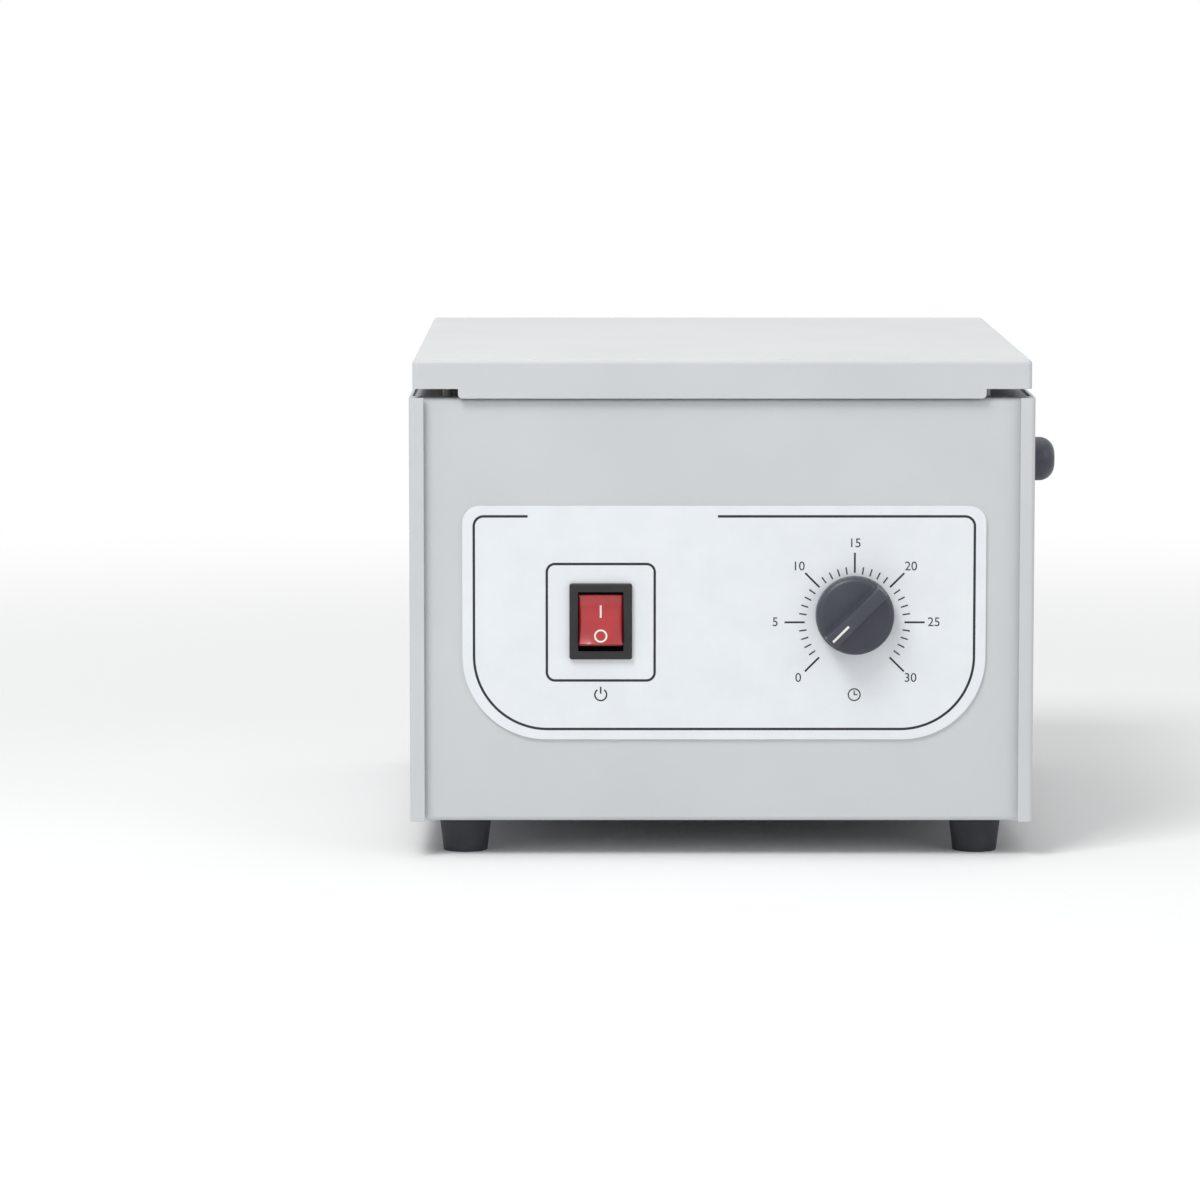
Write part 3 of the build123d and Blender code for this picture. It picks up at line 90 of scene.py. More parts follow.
def middle(node):
    """Middle of a CAD node's box."""
    low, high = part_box(node)
    return (low + high) / 2


case = middle("lid_shell")
label_low, label_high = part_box("control_label")
label_middle = (label_low + label_high) / 2
label_face = label_low.y
switch = middle("switch_housing")
timer = middle("timer_nut")
dial_drop = 0.45 * MM
dial_z = switch.z - dial_drop
rotor_x, rotor_y = middle("rotor_bowl").x, middle("rotor_bowl").y
print("case", case / MM, "label", (label_high - label_low) / MM)

# %% [markdown]
# ## The camera comes first
#
# The instrument is seen from far away and a little above, and a little from the left of its middle. A long
# lens keeps its edges almost parallel. The Standard view transform shows a colour about as it is written.

# %% Camera at the viewing angle
scene = bpy.context.scene
scene.view_settings.view_transform = "Standard"
camera_from_left = 49.5 * MM
camera_distance = 2230 * MM
camera_height, aim_height = 352.2 * MM, 106.1 * MM
front_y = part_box("lid_shell")[0].y
camera_place = Vector((case.x - camera_from_left, front_y - camera_distance, camera_height))
camera_target = Vector((camera_place.x, front_y, aim_height))
camera_data = bpy.data.cameras.new("camera")
camera_data.sensor_width = 36  # millimetres, as the lens is
camera_data.lens = 165.6
camera_data.clip_end = 50  # metres
camera = bpy.data.objects.new("camera", camera_data)
camera.location = camera_place
camera.rotation_euler = (camera_target - camera_place).to_track_quat("-Z", "Y").to_euler()
scene.collection.objects.link(camera)
scene.camera = camera
print("camera", round((camera_target - camera_place).length, 3), "m from the front")

# %% [markdown]
# ## Materials: one small helper and honest starting values
#
# A finish is a Principled shader plus a few texture nodes. Colours are written as hex values, as a paint chart
# gives them, and one function turns them to the linear values that the shader works in. Patterns read object
# coordinates in metres, so a pattern with a period of p millimetres has a scale of 1 / (p * MM).

# %% Colour and node helpers


def linear(hex_colour):
    """sRGB hex to linear red, green, blue and an alpha of 1."""
    channels = np.array([int(hex_colour[i : i + 2], 16) for i in (1, 3, 5)]) / 255
    low, high = channels / 12.92, ((channels + 0.055) / 1.055) ** 2.4
    return (*np.where(channels <= 0.04045, low, high).tolist(), 1.0)


def add(tree, kind, inputs=None, stops=(), **settings):
    """A node with its settings; an input is a value or another node's output to link.

    Stops are the positions and hex colours of a colour ramp's two ends."""
    node = tree.nodes.new(kind)
    for name, value in settings.items():
        setattr(node, name, value)
    for number, (position, colour) in enumerate(stops):
        element = node.color_ramp.elements[number]
        element.position, element.color = position, linear(colour)
    for name, value in (inputs or {}).items():
        if isinstance(value, bpy.types.NodeSocket):
            tree.links.new(value, node.inputs[name])
        else:
            node.inputs[name].default_value = value
    return node


def new_finish(name, roughness=0.5, metallic=0.0, colour=None, **extra):
    """A material, its tree, its Principled shader and its object coordinates.

    The other settings are the shader's sockets by name, with _ for each space."""
    material = bpy.data.materials.new(name)
    material.use_nodes = True
    tree = material.node_tree
    shader = tree.nodes["Principled BSDF"]
    shader.inputs["Roughness"].default_value = roughness
    shader.inputs["Metallic"].default_value = metallic
    if colour:
        shader.inputs["Base Color"].default_value = linear(colour)
    for socket, value in extra.items():
        shader.inputs[socket.replace("_", " ")].default_value = value
    place = add(tree, "ShaderNodeTexCoord").outputs["Object"]
    return material, tree, shader, place


def surface(tree, shader, tone, dark, light, height, depth_mm, edge_mm=0.0, span=(0.0, 1.0)):
    """Colour and relief of a finish, each from a pattern between 0 and 1.

    The colour goes from dark to light over a span of the tone. The relief is a bump of the given depth, over
    edges that look rounded by a radius."""
    stops = list(zip(span, (dark, light)))
    colour = add(tree, "ShaderNodeValToRGB", {"Fac": tone}, stops)
    tree.links.new(colour.outputs["Color"], shader.inputs["Base Color"])
    bump = add(tree, "ShaderNodeBump", {"Height": height, "Distance": depth_mm * MM, "Strength": 1.0})
    if edge_mm:
        edge = add(tree, "ShaderNodeBevel", {"Radius": edge_mm * MM}, samples=4)
        tree.links.new(edge.outputs["Normal"], bump.inputs["Normal"])
    tree.links.new(bump.outputs["Normal"], shader.inputs["Normal"])


# %% [markdown]
# ## Painted and plated sheet metal
#
# The case is cold-rolled steel with a polyester powder coat. Powder melts into a skin that is smooth but not
# flat: a soft orange peel a little over a millimetre across, which breaks up the reflections. Screws and
# brackets are zinc plated, which gives them a slightly blue, cloudy shine. Hinge pins and the shaft are bright
# drawn steel, and the tube sleeves are anodised aluminium: the same cloudy metal in other tones.

# %% Powder coat and plain metal


def powder_coat(name, light, dark, roughness):
    """Polyester powder coat: faint clouds of colour and orange peel about 1.4 mm across."""
    material, tree, shader, place = new_finish(name, roughness, Specular_IOR_Level=0.4)
    clouds = add(tree, "ShaderNodeTexNoise", {"Vector": place, "Scale": 1 / (60 * MM), "Detail": 3.0})
    peel = add(tree, "ShaderNodeTexNoise", {"Vector": place, "Scale": 1 / (1.4 * MM), "Detail": 1.5})
    tone, relief = clouds.outputs["Fac"], peel.outputs["Fac"]
    surface(tree, shader, tone, dark, light, relief, depth_mm=0.012, edge_mm=0.35, span=(0.3, 0.7))
    return material


def plain_metal(name, light, dark, roughness, grain_mm):
    """Plated, drawn or anodised metal: clouds of roughness about 9 mm across and a fine grain."""
    material, tree, shader, place = new_finish(name, roughness, 1.0)
    clouds = add(tree, "ShaderNodeTexNoise", {"Vector": place, "Scale": 1 / (9 * MM), "Detail": 4.0})
    span = {"Value": clouds.outputs["Fac"], "To Min": roughness - 0.08, "To Max": roughness + 0.1}
    rough = add(tree, "ShaderNodeMapRange", span)
    tree.links.new(rough.outputs["Result"], shader.inputs["Roughness"])
    grain = add(tree, "ShaderNodeTexNoise", {"Vector": place, "Scale": 1 / (grain_mm * MM), "Detail": 2.0})
    tone, relief = clouds.outputs["Fac"], grain.outputs["Fac"]
    surface(tree, shader, tone, dark, light, relief, depth_mm=0.01, edge_mm=0.15, span=(0.25, 0.75))
    return material


# %% [markdown]
# ## Spun, turned and stacked metal
#
# The bowl is spun stainless steel and the rotor head is turned aluminium, so both carry rings round the
# rotor's axis. A wave of rings on object coordinates, moved to that axis, gives the tool marks. The ring
# spacing is drawn coarser than the real 0.1 mm feed, so that it shows at all. The rating plate is brushed one
# way, which noise shows when it is stretched. The motor's core is a stack of thin sheets: a wave of bands.

# %% Lathe rings, brushed plate and laminations


def wave_scale(spacing_mm):
    """Scale of a wave pattern that repeats at a spacing: at a scale of 1 it repeats every 2 pi / 20 metres."""
    return 2 * pi / (20 * spacing_mm * MM)


def turned_metal(name, light, dark, roughness, ring_mm, centre=(rotor_x, rotor_y, 0.0)):
    """Metal with concentric tool marks round a vertical axis through a centre."""
    material, tree, shader, place = new_finish(name, roughness, 1.0)
    moved = add(tree, "ShaderNodeMapping", {"Vector": place, "Location": [-c for c in centre]})
    wave = {"Vector": moved.outputs["Vector"], "Scale": wave_scale(ring_mm), "Distortion": 0.6, "Detail": 3.0}
    rings = add(tree, "ShaderNodeTexWave", wave, wave_type="RINGS", rings_direction="Z").outputs["Fac"]
    surface(tree, shader, rings, dark, light, rings, depth_mm=0.004, edge_mm=0.3)
    return material


def brushed_metal(name, light, dark, roughness, length_mm, width_mm):
    """Brushed plate: short scratches of a given length and width, from noise stretched along x."""
    material, tree, shader, place = new_finish(name, roughness, 1.0)
    sizes = (1 / (length_mm * MM), 1 / (width_mm * MM), 1 / (width_mm * MM))
    stretched = add(tree, "ShaderNodeMapping", {"Vector": place, "Scale": sizes}).outputs["Vector"]
    noise = add(tree, "ShaderNodeTexNoise", {"Vector": stretched, "Scale": 1.0, "Detail": 3.0})
    scratches = noise.outputs["Fac"]
    surface(tree, shader, scratches, dark, light, scratches, depth_mm=0.004, edge_mm=0.2, span=(0.3, 0.7))
    return material


def laminated_iron(name):
    """Varnished silicon-steel laminations: layers 1 mm thick, twice the real thickness, so that they show."""
    material, tree, shader, place = new_finish(name, 0.45, 0.6)
    wave = {"Vector": place, "Scale": wave_scale(1.0), "Distortion": 0.2}
    layers = add(tree, "ShaderNodeTexWave", wave, wave_type="BANDS", bands_direction="Z").outputs["Fac"]
    surface(tree, shader, layers, "#3A3D42", "#6B6F74", layers, depth_mm=0.05)
    return material


# %% [markdown]
# ## Plastics, rubber and print
#
# Moulded ABS takes its surface from the mould, which is spark-eroded to a fine grain. Rubber is dull because
# its grain is coarser and it scatters light below the surface. The label is a polycarbonate sheet with a
# velvet face, and screen-printing ink lies on it as a thin film. The motor's windings are copper wire under a
# clear enamel, so they are metal with a coat, and a wave of rings gives their strands.

# %% Moulded plastics, rubber and windings


def moulded(name, colour, shade, roughness, grain_mm, depth_mm, edge_mm=0.25, **extra):
    """Plastic or rubber with a mould grain and a faint change of tone."""
    material, tree, shader, place = new_finish(name, roughness, **extra)
    tone = add(tree, "ShaderNodeTexNoise", {"Vector": place, "Scale": 1 / (12 * MM), "Detail": 3.0})
    grain = add(tree, "ShaderNodeTexNoise", {"Vector": place, "Scale": 1 / (grain_mm * MM), "Detail": 2.0})
    relief, span = grain.outputs["Fac"], (0.3, 0.7)
    surface(tree, shader, tone.outputs["Fac"], shade, colour, relief, depth_mm, edge_mm, span)
    return material


def copper_winding(name):
    """Enamelled copper wire in a bundle: strands 0.9 mm apart that run round the motor's axis."""
    material, tree, shader, place = new_finish(name, 0.3, 0.9, Coat_Weight=0.4)
    moved = add(tree, "ShaderNodeMapping", {"Vector": place, "Location": (-rotor_x, -rotor_y, 0.0)})
    wave = {"Vector": moved.outputs["Vector"], "Scale": wave_scale(0.9), "Distortion": 2.0, "Detail": 2.0}
    strands = add(tree, "ShaderNodeTexWave", wave, wave_type="RINGS", rings_direction="Z").outputs["Fac"]
    surface(tree, shader, strands, "#5A2A14", "#B4653A", strands, depth_mm=0.2)
    return material


# %% The finishes, one for each material slot of the record
# Each has a name, its two tones and its roughness, and then its pattern's sizes in millimetres.
finishes = {
    "case_paint": powder_coat("powder_coat_light_grey", "#CBCED0", "#C6C9CB", 0.42),
    "inner_paint": powder_coat("powder_coat_matt_grey", "#C2C5C7", "#BCBFC1", 0.6),
    "zinc_steel": plain_metal("zinc_plated_steel", "#C9CCCE", "#A9ADB0", 0.32, 0.5),
    "turned_steel": plain_metal("bright_drawn_steel", "#B4B5B7", "#999A9D", 0.34, 0.3),
    "stainless_bowl": turned_metal("spun_stainless", "#C0C2C4", "#ACAEB1", 0.3, 2.0),
    "rotor_alloy": turned_metal("turned_aluminium", "#CDCED0", "#BABBBE", 0.36, 0.8),
    "sleeve_metal": plain_metal("satin_anodised_aluminium", "#D2D4D6", "#BEC0C3", 0.36, 0.4),
    "lamination": laminated_iron("varnished_laminations"),
    "winding": copper_winding("enamelled_copper"),
    "terminal_brass": plain_metal("stamped_brass", "#D8C68C", "#B9A468", 0.3, 0.4),
    "label_print": moulded("velvet_polycarbonate_white", "#E5E9ED", "#E1E5E9", 0.5, 0.6, 0.006, 0.2),
    "bezel_black": moulded("nylon_black", "#1B1B1E", "#141417", 0.42, 0.5, 0.015),
    "rocker_red": moulded("polycarbonate_red", "#B7262B", "#A51E24", 0.22, 3.0, 0.004, 0.2, Coat_Weight=0.5),
    "knob_charcoal": moulded("abs_charcoal", "#3F424D", "#383B45", 0.4, 0.5, 0.012),
    "fan_plastic": moulded("nylon_natural", "#DAD8D0", "#CFCDC4", 0.45, 0.8, 0.01),
    "rubber_black": moulded("nitrile_rubber", "#38393E", "#2E2F34", 0.75, 0.8, 0.03),
    "wire_sleeve": moulded("pvc_sleeving", "#1D1D20", "#161618", 0.5, 0.8, 0.01),
    "fuse_glass": new_finish("fuse_glass", 0.05, colour="#E6EFEF", Transmission_Weight=1.0, IOR=1.5)[0],
}
for part in frame["record"]["subparts"]:
    mesh = nodes[part["node"]].data
    mesh.materials.clear()
    mesh.materials.append(finishes[part["material_slot"]])
brushed = brushed_metal("brushed_aluminium", "#CDCFD0", "#BFC1C3", 0.42, 12, 0.3)
nodes["rating_plate"].data.materials[0] = brushed

# %% [markdown]
# ## Shapes from outlines
#
# A small moulded part is often an outline with rounded corners that grows or shrinks a little as it rises, and
# a screw head or a rivet is a profile turned round an axis. So one function rounds the corners of an outline,
# and a second stacks copies of it, each moved in or out along its own normals. A third turns a profile. Another
# two lay the finished rings of points where they belong and join neighbouring rings with faces.

# %% Outlines


def rounded(points, radii):
    """A closed outline, anticlockwise, in which an arc that touches both sides takes each corner's place.

    An arc has 8 points and one more for each millimetre of its radius."""
    points = np.asarray(points, float)
    arcs = []
    for before, corner, after, radius in zip(
        np.roll(points, 1, 0), points, np.roll(points, -1, 0), np.broadcast_to(radii, len(points))
    ):
        if radius == 0:
            arcs.append(corner[None])
            continue
        back = (before - corner) / np.linalg.norm(before - corner)
        on = (after - corner) / np.linalg.norm(after - corner)
        half = np.arccos(np.clip(back @ on, -1, 1)) / 2
        centre = corner + (back + on) / np.linalg.norm(back + on) * radius / np.sin(half)
        first, last = corner + back * radius / np.tan(half), corner + on * radius / np.tan(half)
        start = np.arctan2(*(first - centre)[::-1])
        turn = (np.arctan2(*(last - centre)[::-1]) - start + pi) % (2 * pi) - pi
        angles = start + turn * np.linspace(0, 1, 8 + int(radius / MM))
        arcs.append(centre + radius * np.stack([np.cos(angles), np.sin(angles)], 1))
    return np.concatenate(arcs)


def box_outline(width, height):
    """Corners of a rectangle round the origin, anticlockwise."""
    return np.array([(-1, -1), (1, -1), (1, 1), (-1, 1)]) * (width / 2, height / 2)


def rotated(outline, angle):
    """The outline turned anticlockwise round the origin."""
    turn = np.array([[cos(angle), sin(angle)], [-sin(angle), cos(angle)]])
    return np.asarray(outline, float) @ turn


def stacked(outline, layers):
    """Rings of (a, b, height): the outline moved out along its normals by each layer's first number.

    A layer's second number is its height. A normal is the way along the outline, turned by a right angle."""
    outline, layers = np.asarray(outline, float), np.asarray(layers, float)
    ahead = np.roll(outline, -1, 0) - np.roll(outline, 1, 0)
    ahead /= np.linalg.norm(ahead, axis=1, keepdims=True)
    normals = np.stack([ahead[:, 1], -ahead[:, 0]], 1)
    flat = outline[None] + layers[:, :1, None] * normals[None]
    heights = np.broadcast_to(layers[:, 1:, None], (*flat.shape[:2], 1))
    return np.concatenate([flat, heights], 2)


def turned(profile, count=48):
    """Rings of (a, b, height) from a profile of (radius, height), carried round the axis."""
    profile = np.asarray(profile, float)
    angles = np.linspace(0, 2 * pi, count, endpoint=False)
    around = np.stack([np.cos(angles), np.sin(angles)], 1)
    flat = profile[:, :1, None] * around[None]
    heights = np.broadcast_to(profile[:, 1:, None], (*flat.shape[:2], 1))
    return np.concatenate([flat, heights], 2)


# %% Places, skins and pieces
FRONT = ((1, 0, 0), (0, 0, 1), (0, -1, 0))
BACK = ((-1, 0, 0), (0, 0, 1), (0, 1, 0))
LEFT = ((0, -1, 0), (0, 0, 1), (-1, 0, 0))
RIGHT = ((0, 1, 0), (0, 0, 1), (1, 0, 0))
TOP = ((1, 0, 0), (0, 1, 0), (0, 0, 1))


def laid(rings, origin, side):
    """Rings moved to a place on one side of the case: a goes across it, b goes up it and height goes out."""
    return np.asarray(origin, float) + rings @ np.array(side, float)


def skin(rings, closed=False):
    """Points and faces of a skin over rings of points, joined to its start or with flat ends."""
    count, around = rings.shape[:2]
    index = np.arange(count * around).reshape(count, around)
    upper = np.roll(index, -1, 0) if closed else index[1:]
    lower = index if closed else index[:-1]
    quads = np.stack([lower, np.roll(lower, -1, 1), np.roll(upper, -1, 1), upper], -1).reshape(-1, 4)
    ends = [] if closed else [index[0, ::-1].tolist(), index[-1].tolist()]
    return rings.reshape(-1, 3), quads.tolist() + ends


def piece(name, body, slot, skins, smooth_angle=30, finish=None):
    """One object from several skins, which rides on a body and takes the given finish, or else its material
    slot's finish.
    """
    mesh = bpy.data.meshes.new(name)
    shifts = np.cumsum([0] + [len(points) for points, _ in skins])
    faces = [[i + shift for i in face] for (_, fs), shift in zip(skins, shifts) for face in fs]
    mesh.from_pydata(np.concatenate([points for points, _ in skins]).tolist(), [], faces)
    tidy = bmesh.new()
    tidy.from_mesh(mesh)
    bmesh.ops.remove_doubles(tidy, verts=tidy.verts, dist=1e-7)
    bmesh.ops.dissolve_degenerate(tidy, edges=tidy.edges, dist=1e-7)
    bmesh.ops.recalc_face_normals(tidy, faces=tidy.faces)
    tidy.to_mesh(mesh)
    tidy.free()
    mesh.shade_smooth()
    mesh.set_sharp_from_angle(angle=radians(smooth_angle))
    mesh.materials.append(finish or finishes[slot])
    thing = bpy.data.objects.new(name, mesh)
    scene.collection.objects.link(thing)
    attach(thing, body)
    print(f"{name}: {len(mesh.polygons)} faces, on {body}")
    return thing


# %% [markdown]
# ## Screws and rivets
#
# Panels like these are held by zinc-plated machine screws with a pan head and a cross recess. The dome and its
# recess are one height field on a polar grid, which needs no cutting. The hinges are riveted: a rivet's
# head is a plain low dome.

# %% Screw and rivet shapes


def fading(inside, edge):
    """1 well inside, 0 well outside and a straight slope across an edge of the given width."""
    return np.clip(0.5 + inside / edge, 0, 1)


def cross_screw(head, height, shank, length):
    """Rings of a pan-head screw from the middle of its dome over the rim to the end of its shank.

    The dome's height falls with the cube of the radius to 0.6 of it at the rim. The recess is deepest in the
    middle and has four arms: points whose larger coordinate is within an arm's length and whose smaller one is
    within its half width. The shank ends in a very small ring, so that its end is flat and closed."""
    share, count = np.linspace(0, 1, 24), 96
    rings = turned(np.stack([share * head, height * (1 - 0.4 * share**3)], 1), count)
    wide = np.abs(rings[..., :2]).max(2)
    narrow = np.abs(rings[..., :2]).min(2)
    arm, half_width = 0.5 * head, 0.13 * head
    recess = fading(arm - wide, 0.08 * head) * fading(half_width - narrow, 0.08 * head)
    rings[..., 2] -= 0.75 * height * recess * (1 - 0.5 * wide / head)
    below = turned([(head, 0), (shank, 0), (shank, -length), (0.01 * shank, -length)], count)
    return np.concatenate([rings, below])


def rivet(head, height, shank, length):
    """Rings of a round-headed rivet: an ellipse's quarter for the dome, and then its shank."""
    quarter = np.linspace(0.02, pi / 2, 9)
    dome = np.stack([head * np.sin(quarter), height * np.cos(quarter)], 1)
    return turned([*dome, (shank, 0), (shank, -length), (0.01 * shank, -length)], count=32)


# %% The screws of the case and the bowl, and the rivets of the hinges
left_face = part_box("side_panel_left")[0].x
right_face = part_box("side_panel_right")[1].x
screw_low, screw_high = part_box("case_screws")
head = 3.8 * MM
screw_shape = cross_screw(head, 1.5 * MM, 2 * MM, 5 * MM)
screws = []
for side, face in ((LEFT, left_face), (RIGHT, right_face)):
    for y in (screw_low.y + head, screw_high.y - head):
        for z in (screw_low.z + head, screw_high.z - head):
            turn = 0.7 * (y + z) / MM  # no two recesses stop at the same angle
            shape = screw_shape.copy()
            shape[..., :2] = rotated(shape[..., :2], turn)
            screws.append(skin(laid(shape, (face, y, z), side)))
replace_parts(piece("case_screw_heads", "case", "zinc_steel", screws), "case_screws")

bowl_low, bowl_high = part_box("bowl_screws")
head = 2.2 * MM
circle = (bowl_high.y - bowl_low.y) / 2 - head
flange_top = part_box("rotor_bowl")[1].z
screw_shape = cross_screw(head, 1.15 * MM, 1.25 * MM, 5 * MM)
screws = []
screw_count, first_angle = 6, 30
for number in range(screw_count):
    angle = radians(first_angle + 360 / screw_count * number)
    shape = screw_shape.copy()
    shape[..., :2] = rotated(shape[..., :2], 1.3 * number)
    place = (rotor_x + circle * cos(angle), rotor_y + circle * sin(angle), flange_top)
    screws.append(skin(laid(shape, place, TOP)))
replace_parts(piece("bowl_screw_heads", "case", "zinc_steel", screws), "bowl_screws")

head = 2.8 * MM
leaf_thickness = 1.2 * MM
rivet_spacing = 34 * MM
rivet_shape = rivet(head, 1.0 * MM, 1.6 * MM, 2 * leaf_thickness)
for name, body in (("fixed", "case"), ("lid", "lid")):
    low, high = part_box(f"hinge_rivets_{name}")
    leaf_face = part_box(f"hinge_leaves_{name}")[0].y + leaf_thickness
    middle_z = (low.z + high.z) / 2
    outer = (high.x - low.x) / 2 - head
    inner = outer - rivet_spacing
    places = [(case.x + x, leaf_face, middle_z) for x in (-outer, -inner, inner, outer)]
    skins = [skin(laid(rivet_shape, place, BACK)) for place in places]
    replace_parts(piece(f"hinge_rivet_heads_{name}", body, "zinc_steel", skins), f"hinge_rivets_{name}")

# %% [markdown]
# ## The print on the label
#
# Screen-printed ink stands a few hundredths of a millimetre off the sheet. Each line is a closed strip of that
# thickness with a real width. A strip follows a path in the flat and is then mapped onto its surface: the label
# is a plane, and later the rocker's front is a curve.

# %% Inks and inked lines
INK = 0.05 * MM
ink_black = moulded("screen_ink_black", "#1F2127", "#17191E", 0.5, 0.5, 0.002, 0.0)
ink_white = moulded("pad_print_white", "#EDE9E6", "#E2DEDA", 0.45, 0.5, 0.002, 0.0)


def on_label(a, b, height):
    """A flat point (a, b) as a point on the label's face: a is x and b is z."""
    return np.stack([a, label_face - height, b], -1)


def inked(path, width, onto=on_label, closed=False):
    """Skin of a line of ink: every point of the path gives four corners, half a width to either side."""
    path = np.asarray(path, float)
    if closed:
        along = np.roll(path, -1, 0) - np.roll(path, 1, 0)
    else:
        along = np.gradient(path, axis=0)
    along /= np.linalg.norm(along, axis=1, keepdims=True)
    side = np.stack([along[:, 1], -along[:, 0]], 1) * width / 2
    corners = np.stack([path - side, path + side, path + side, path - side], 1)
    heights = np.broadcast_to([0.0, 0.0, INK, INK], corners.shape[:2])
    return skin(onto(corners[..., 0], corners[..., 1], heights), closed)


def arc(x, z, radius, start, end, count=40):
    """Points of an arc round (x, z), from one angle to another, in degrees."""
    angles = np.radians(np.linspace(start, end, count))
    return np.stack([x + radius * np.cos(angles), z + radius * np.sin(angles)], 1)


# %% Border line, switch frame and dial ticks
line_width = 1.0 * MM
margin_x, margin_z = 4.7 * MM, 4.25 * MM
border_x = (label_high.x - label_low.x) / 2 - margin_x
border_z = (label_high.z - label_low.z) / 2 - margin_z
gap_left, gap_right = case.x - 78.9 * MM, case.x - 1.6 * MM  # the border's top line is open here
label_centre = np.array([label_middle.x, label_middle.z])
top = label_middle.z + border_z
corner_radii = [4 * MM, 30 * MM, 30 * MM, 4 * MM]
corners_from_top = np.array([(-1, 1), (-1, -1), (1, -1), (1, 1)]) * (border_x, border_z)
border = rounded(corners_from_top, corner_radii) + label_centre
border = np.concatenate([[(gap_left, top)], border, [(gap_right, top)]])
switch_frame = rounded(box_outline(43.9 * MM, 47.7 * MM), 3.3 * MM) + (switch.x, dial_z)
ZERO_ANGLE, MINUTE_ANGLE = 225, 9


def on_dial(minutes, radius):
    """Point of the dial: 0 minutes is at the lower left, and each minute turns clockwise by 9 degrees."""
    angle = radians(ZERO_ANGLE - MINUTE_ANGLE * minutes)
    return np.array([timer.x + radius * cos(angle), dial_z + radius * sin(angle)])


LAST_MINUTE, NUMBER_STEP = 30, 5
long_tick = np.array([20.3, 28.5, 0.75]) * MM  # inner radius, outer radius and width
short_tick = np.array([19.8, 22.8, 0.55]) * MM
ticks = []
for minute in range(LAST_MINUTE + 1):
    start, end, width = long_tick if minute % NUMBER_STEP == 0 else short_tick
    ticks.append(inked([on_dial(minute, start), on_dial(minute, end)], width))
lines = [inked(border, line_width), inked(switch_frame, line_width, closed=True)]
piece("panel_print", "case", "label_print", lines + ticks, finish=ink_black)

# %% [markdown]
# ## Numbers and pictograms
#
# The dial has plain numbers from 0 to 30. They are text objects turned into meshes, which is the simplest way
# to a clean letter form. Under the switch and the timer stand two common pictograms: the mains symbol, which is
# a broken ring with a bar, and a clock.

# %% Dial numbers
number_radius = 32.3 * MM
numbers = []
for minute in range(0, LAST_MINUTE + 1, NUMBER_STEP):
    text = bpy.data.curves.new(f"number_{minute}", "FONT")
    text.body = str(minute)
    text.size = 5.2 * MM
    text.extrude = INK / 2
    text.align_x, text.align_y = "CENTER", "CENTER"
    number = bpy.data.objects.new(f"number_{minute}", text)
    scene.collection.objects.link(number)
    bpy.context.view_layer.update()
    mesh = bpy.data.meshes.new_from_object(number.evaluated_get(bpy.context.evaluated_depsgraph_get()))
    points = np.array([vertex.co for vertex in mesh.vertices])
    x, z = on_dial(minute, number_radius)
    placed = on_label(x + points[:, 0], z + points[:, 1], points[:, 2] + INK / 2)
    numbers.append((placed, [list(face.vertices) for face in mesh.polygons]))
    bpy.data.objects.remove(number)
piece("dial_numbers", "case", "label_print", numbers, finish=ink_black)

# %% Pictograms
symbol_drop = 29.7 * MM
symbol_z = dial_z - symbol_drop
ring = 2.4 * MM
pictograms = [
    inked(arc(switch.x, symbol_z, ring, 125, 415), 0.6 * MM),
    inked([(switch.x, symbol_z + 0.4 * MM), (switch.x, symbol_z + 1.35 * ring)], 0.6 * MM),
    inked(arc(timer.x, symbol_z, ring, 0, 351), 0.5 * MM, closed=True),
    inked([(timer.x, symbol_z - 0.2 * MM), (timer.x, symbol_z + 0.7 * ring)], 0.45 * MM),
    inked([(timer.x - 0.2 * MM, symbol_z), (timer.x + 0.55 * ring, symbol_z)], 0.45 * MM),
]
piece("panel_pictograms", "case", "label_print", pictograms, finish=ink_black)

# %% [markdown]
# ## The rocker
#
# A rocker is moulded in clear red polycarbonate, and its front is hollow from end to end, so a finger finds
# either half. It is an outline in the plane of its swing, carried across its width. The outline's front is a
# parabola, and the layers at both sides are a little smaller, which rounds the long edges. It swings on two
# short stubs, and its upper half is pressed in at rest.

# %% Rocker body
pivot_y, pivot_z = label_face + 2.4 * MM, switch.z
tilt = radians(-10)
rocker_half = 11 * MM
hollow_front, hollow_depth = 3.6 * MM, 1.6 * MM


def rocker_front(b):
    """How far the front stands before the pivot at a height: least in the middle, and more with its square."""
    return hollow_front + hollow_depth * (b / rocker_half) ** 2


def on_rocker(a, b, height):
    """A flat point (a, b) as a point on the rocker's hollow front, turned by its tilt round the pivot."""
    depth = -rocker_front(b) - height
    y = depth * cos(tilt) - b * sin(tilt)
    z = depth * sin(tilt) + b * cos(tilt)
    return np.stack([switch.x + a, pivot_y + y, pivot_z + z], -1)


curve_points = 25
front_b = np.linspace(rocker_half, -rocker_half, curve_points)
front_curve = np.stack([-rocker_front(front_b), front_b], 1)
heel = np.array([(3.0 * MM, -rocker_half * 2 / 3), (3.0 * MM, rocker_half * 2 / 3)])
edge = [0.7 * MM]
corner_radii = edge + [0] * (curve_points - 2) + edge * 3
outline = rotated(rounded(np.concatenate([front_curve, heel]), corner_radii), tilt)
side_layers = [(-0.6, -9.0), (-0.25, -8.85), (0, -8.4), (0, 8.4), (-0.25, 8.85), (-0.6, 9.0)]
rings = stacked(outline, np.array(side_layers) * MM)
stubs = turned(np.array([(0.05, -10.1), (1.2, -10.1), (1.2, 10.1), (0.05, 10.1)]) * MM, 24)
pivot = (switch.x, pivot_y, pivot_z)
skins = [skin(laid(rings, pivot, RIGHT)), skin(laid(stubs, pivot, RIGHT))]
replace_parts(piece("rocker_key", "rocker", "rocker_red", skins), "power_rocker")

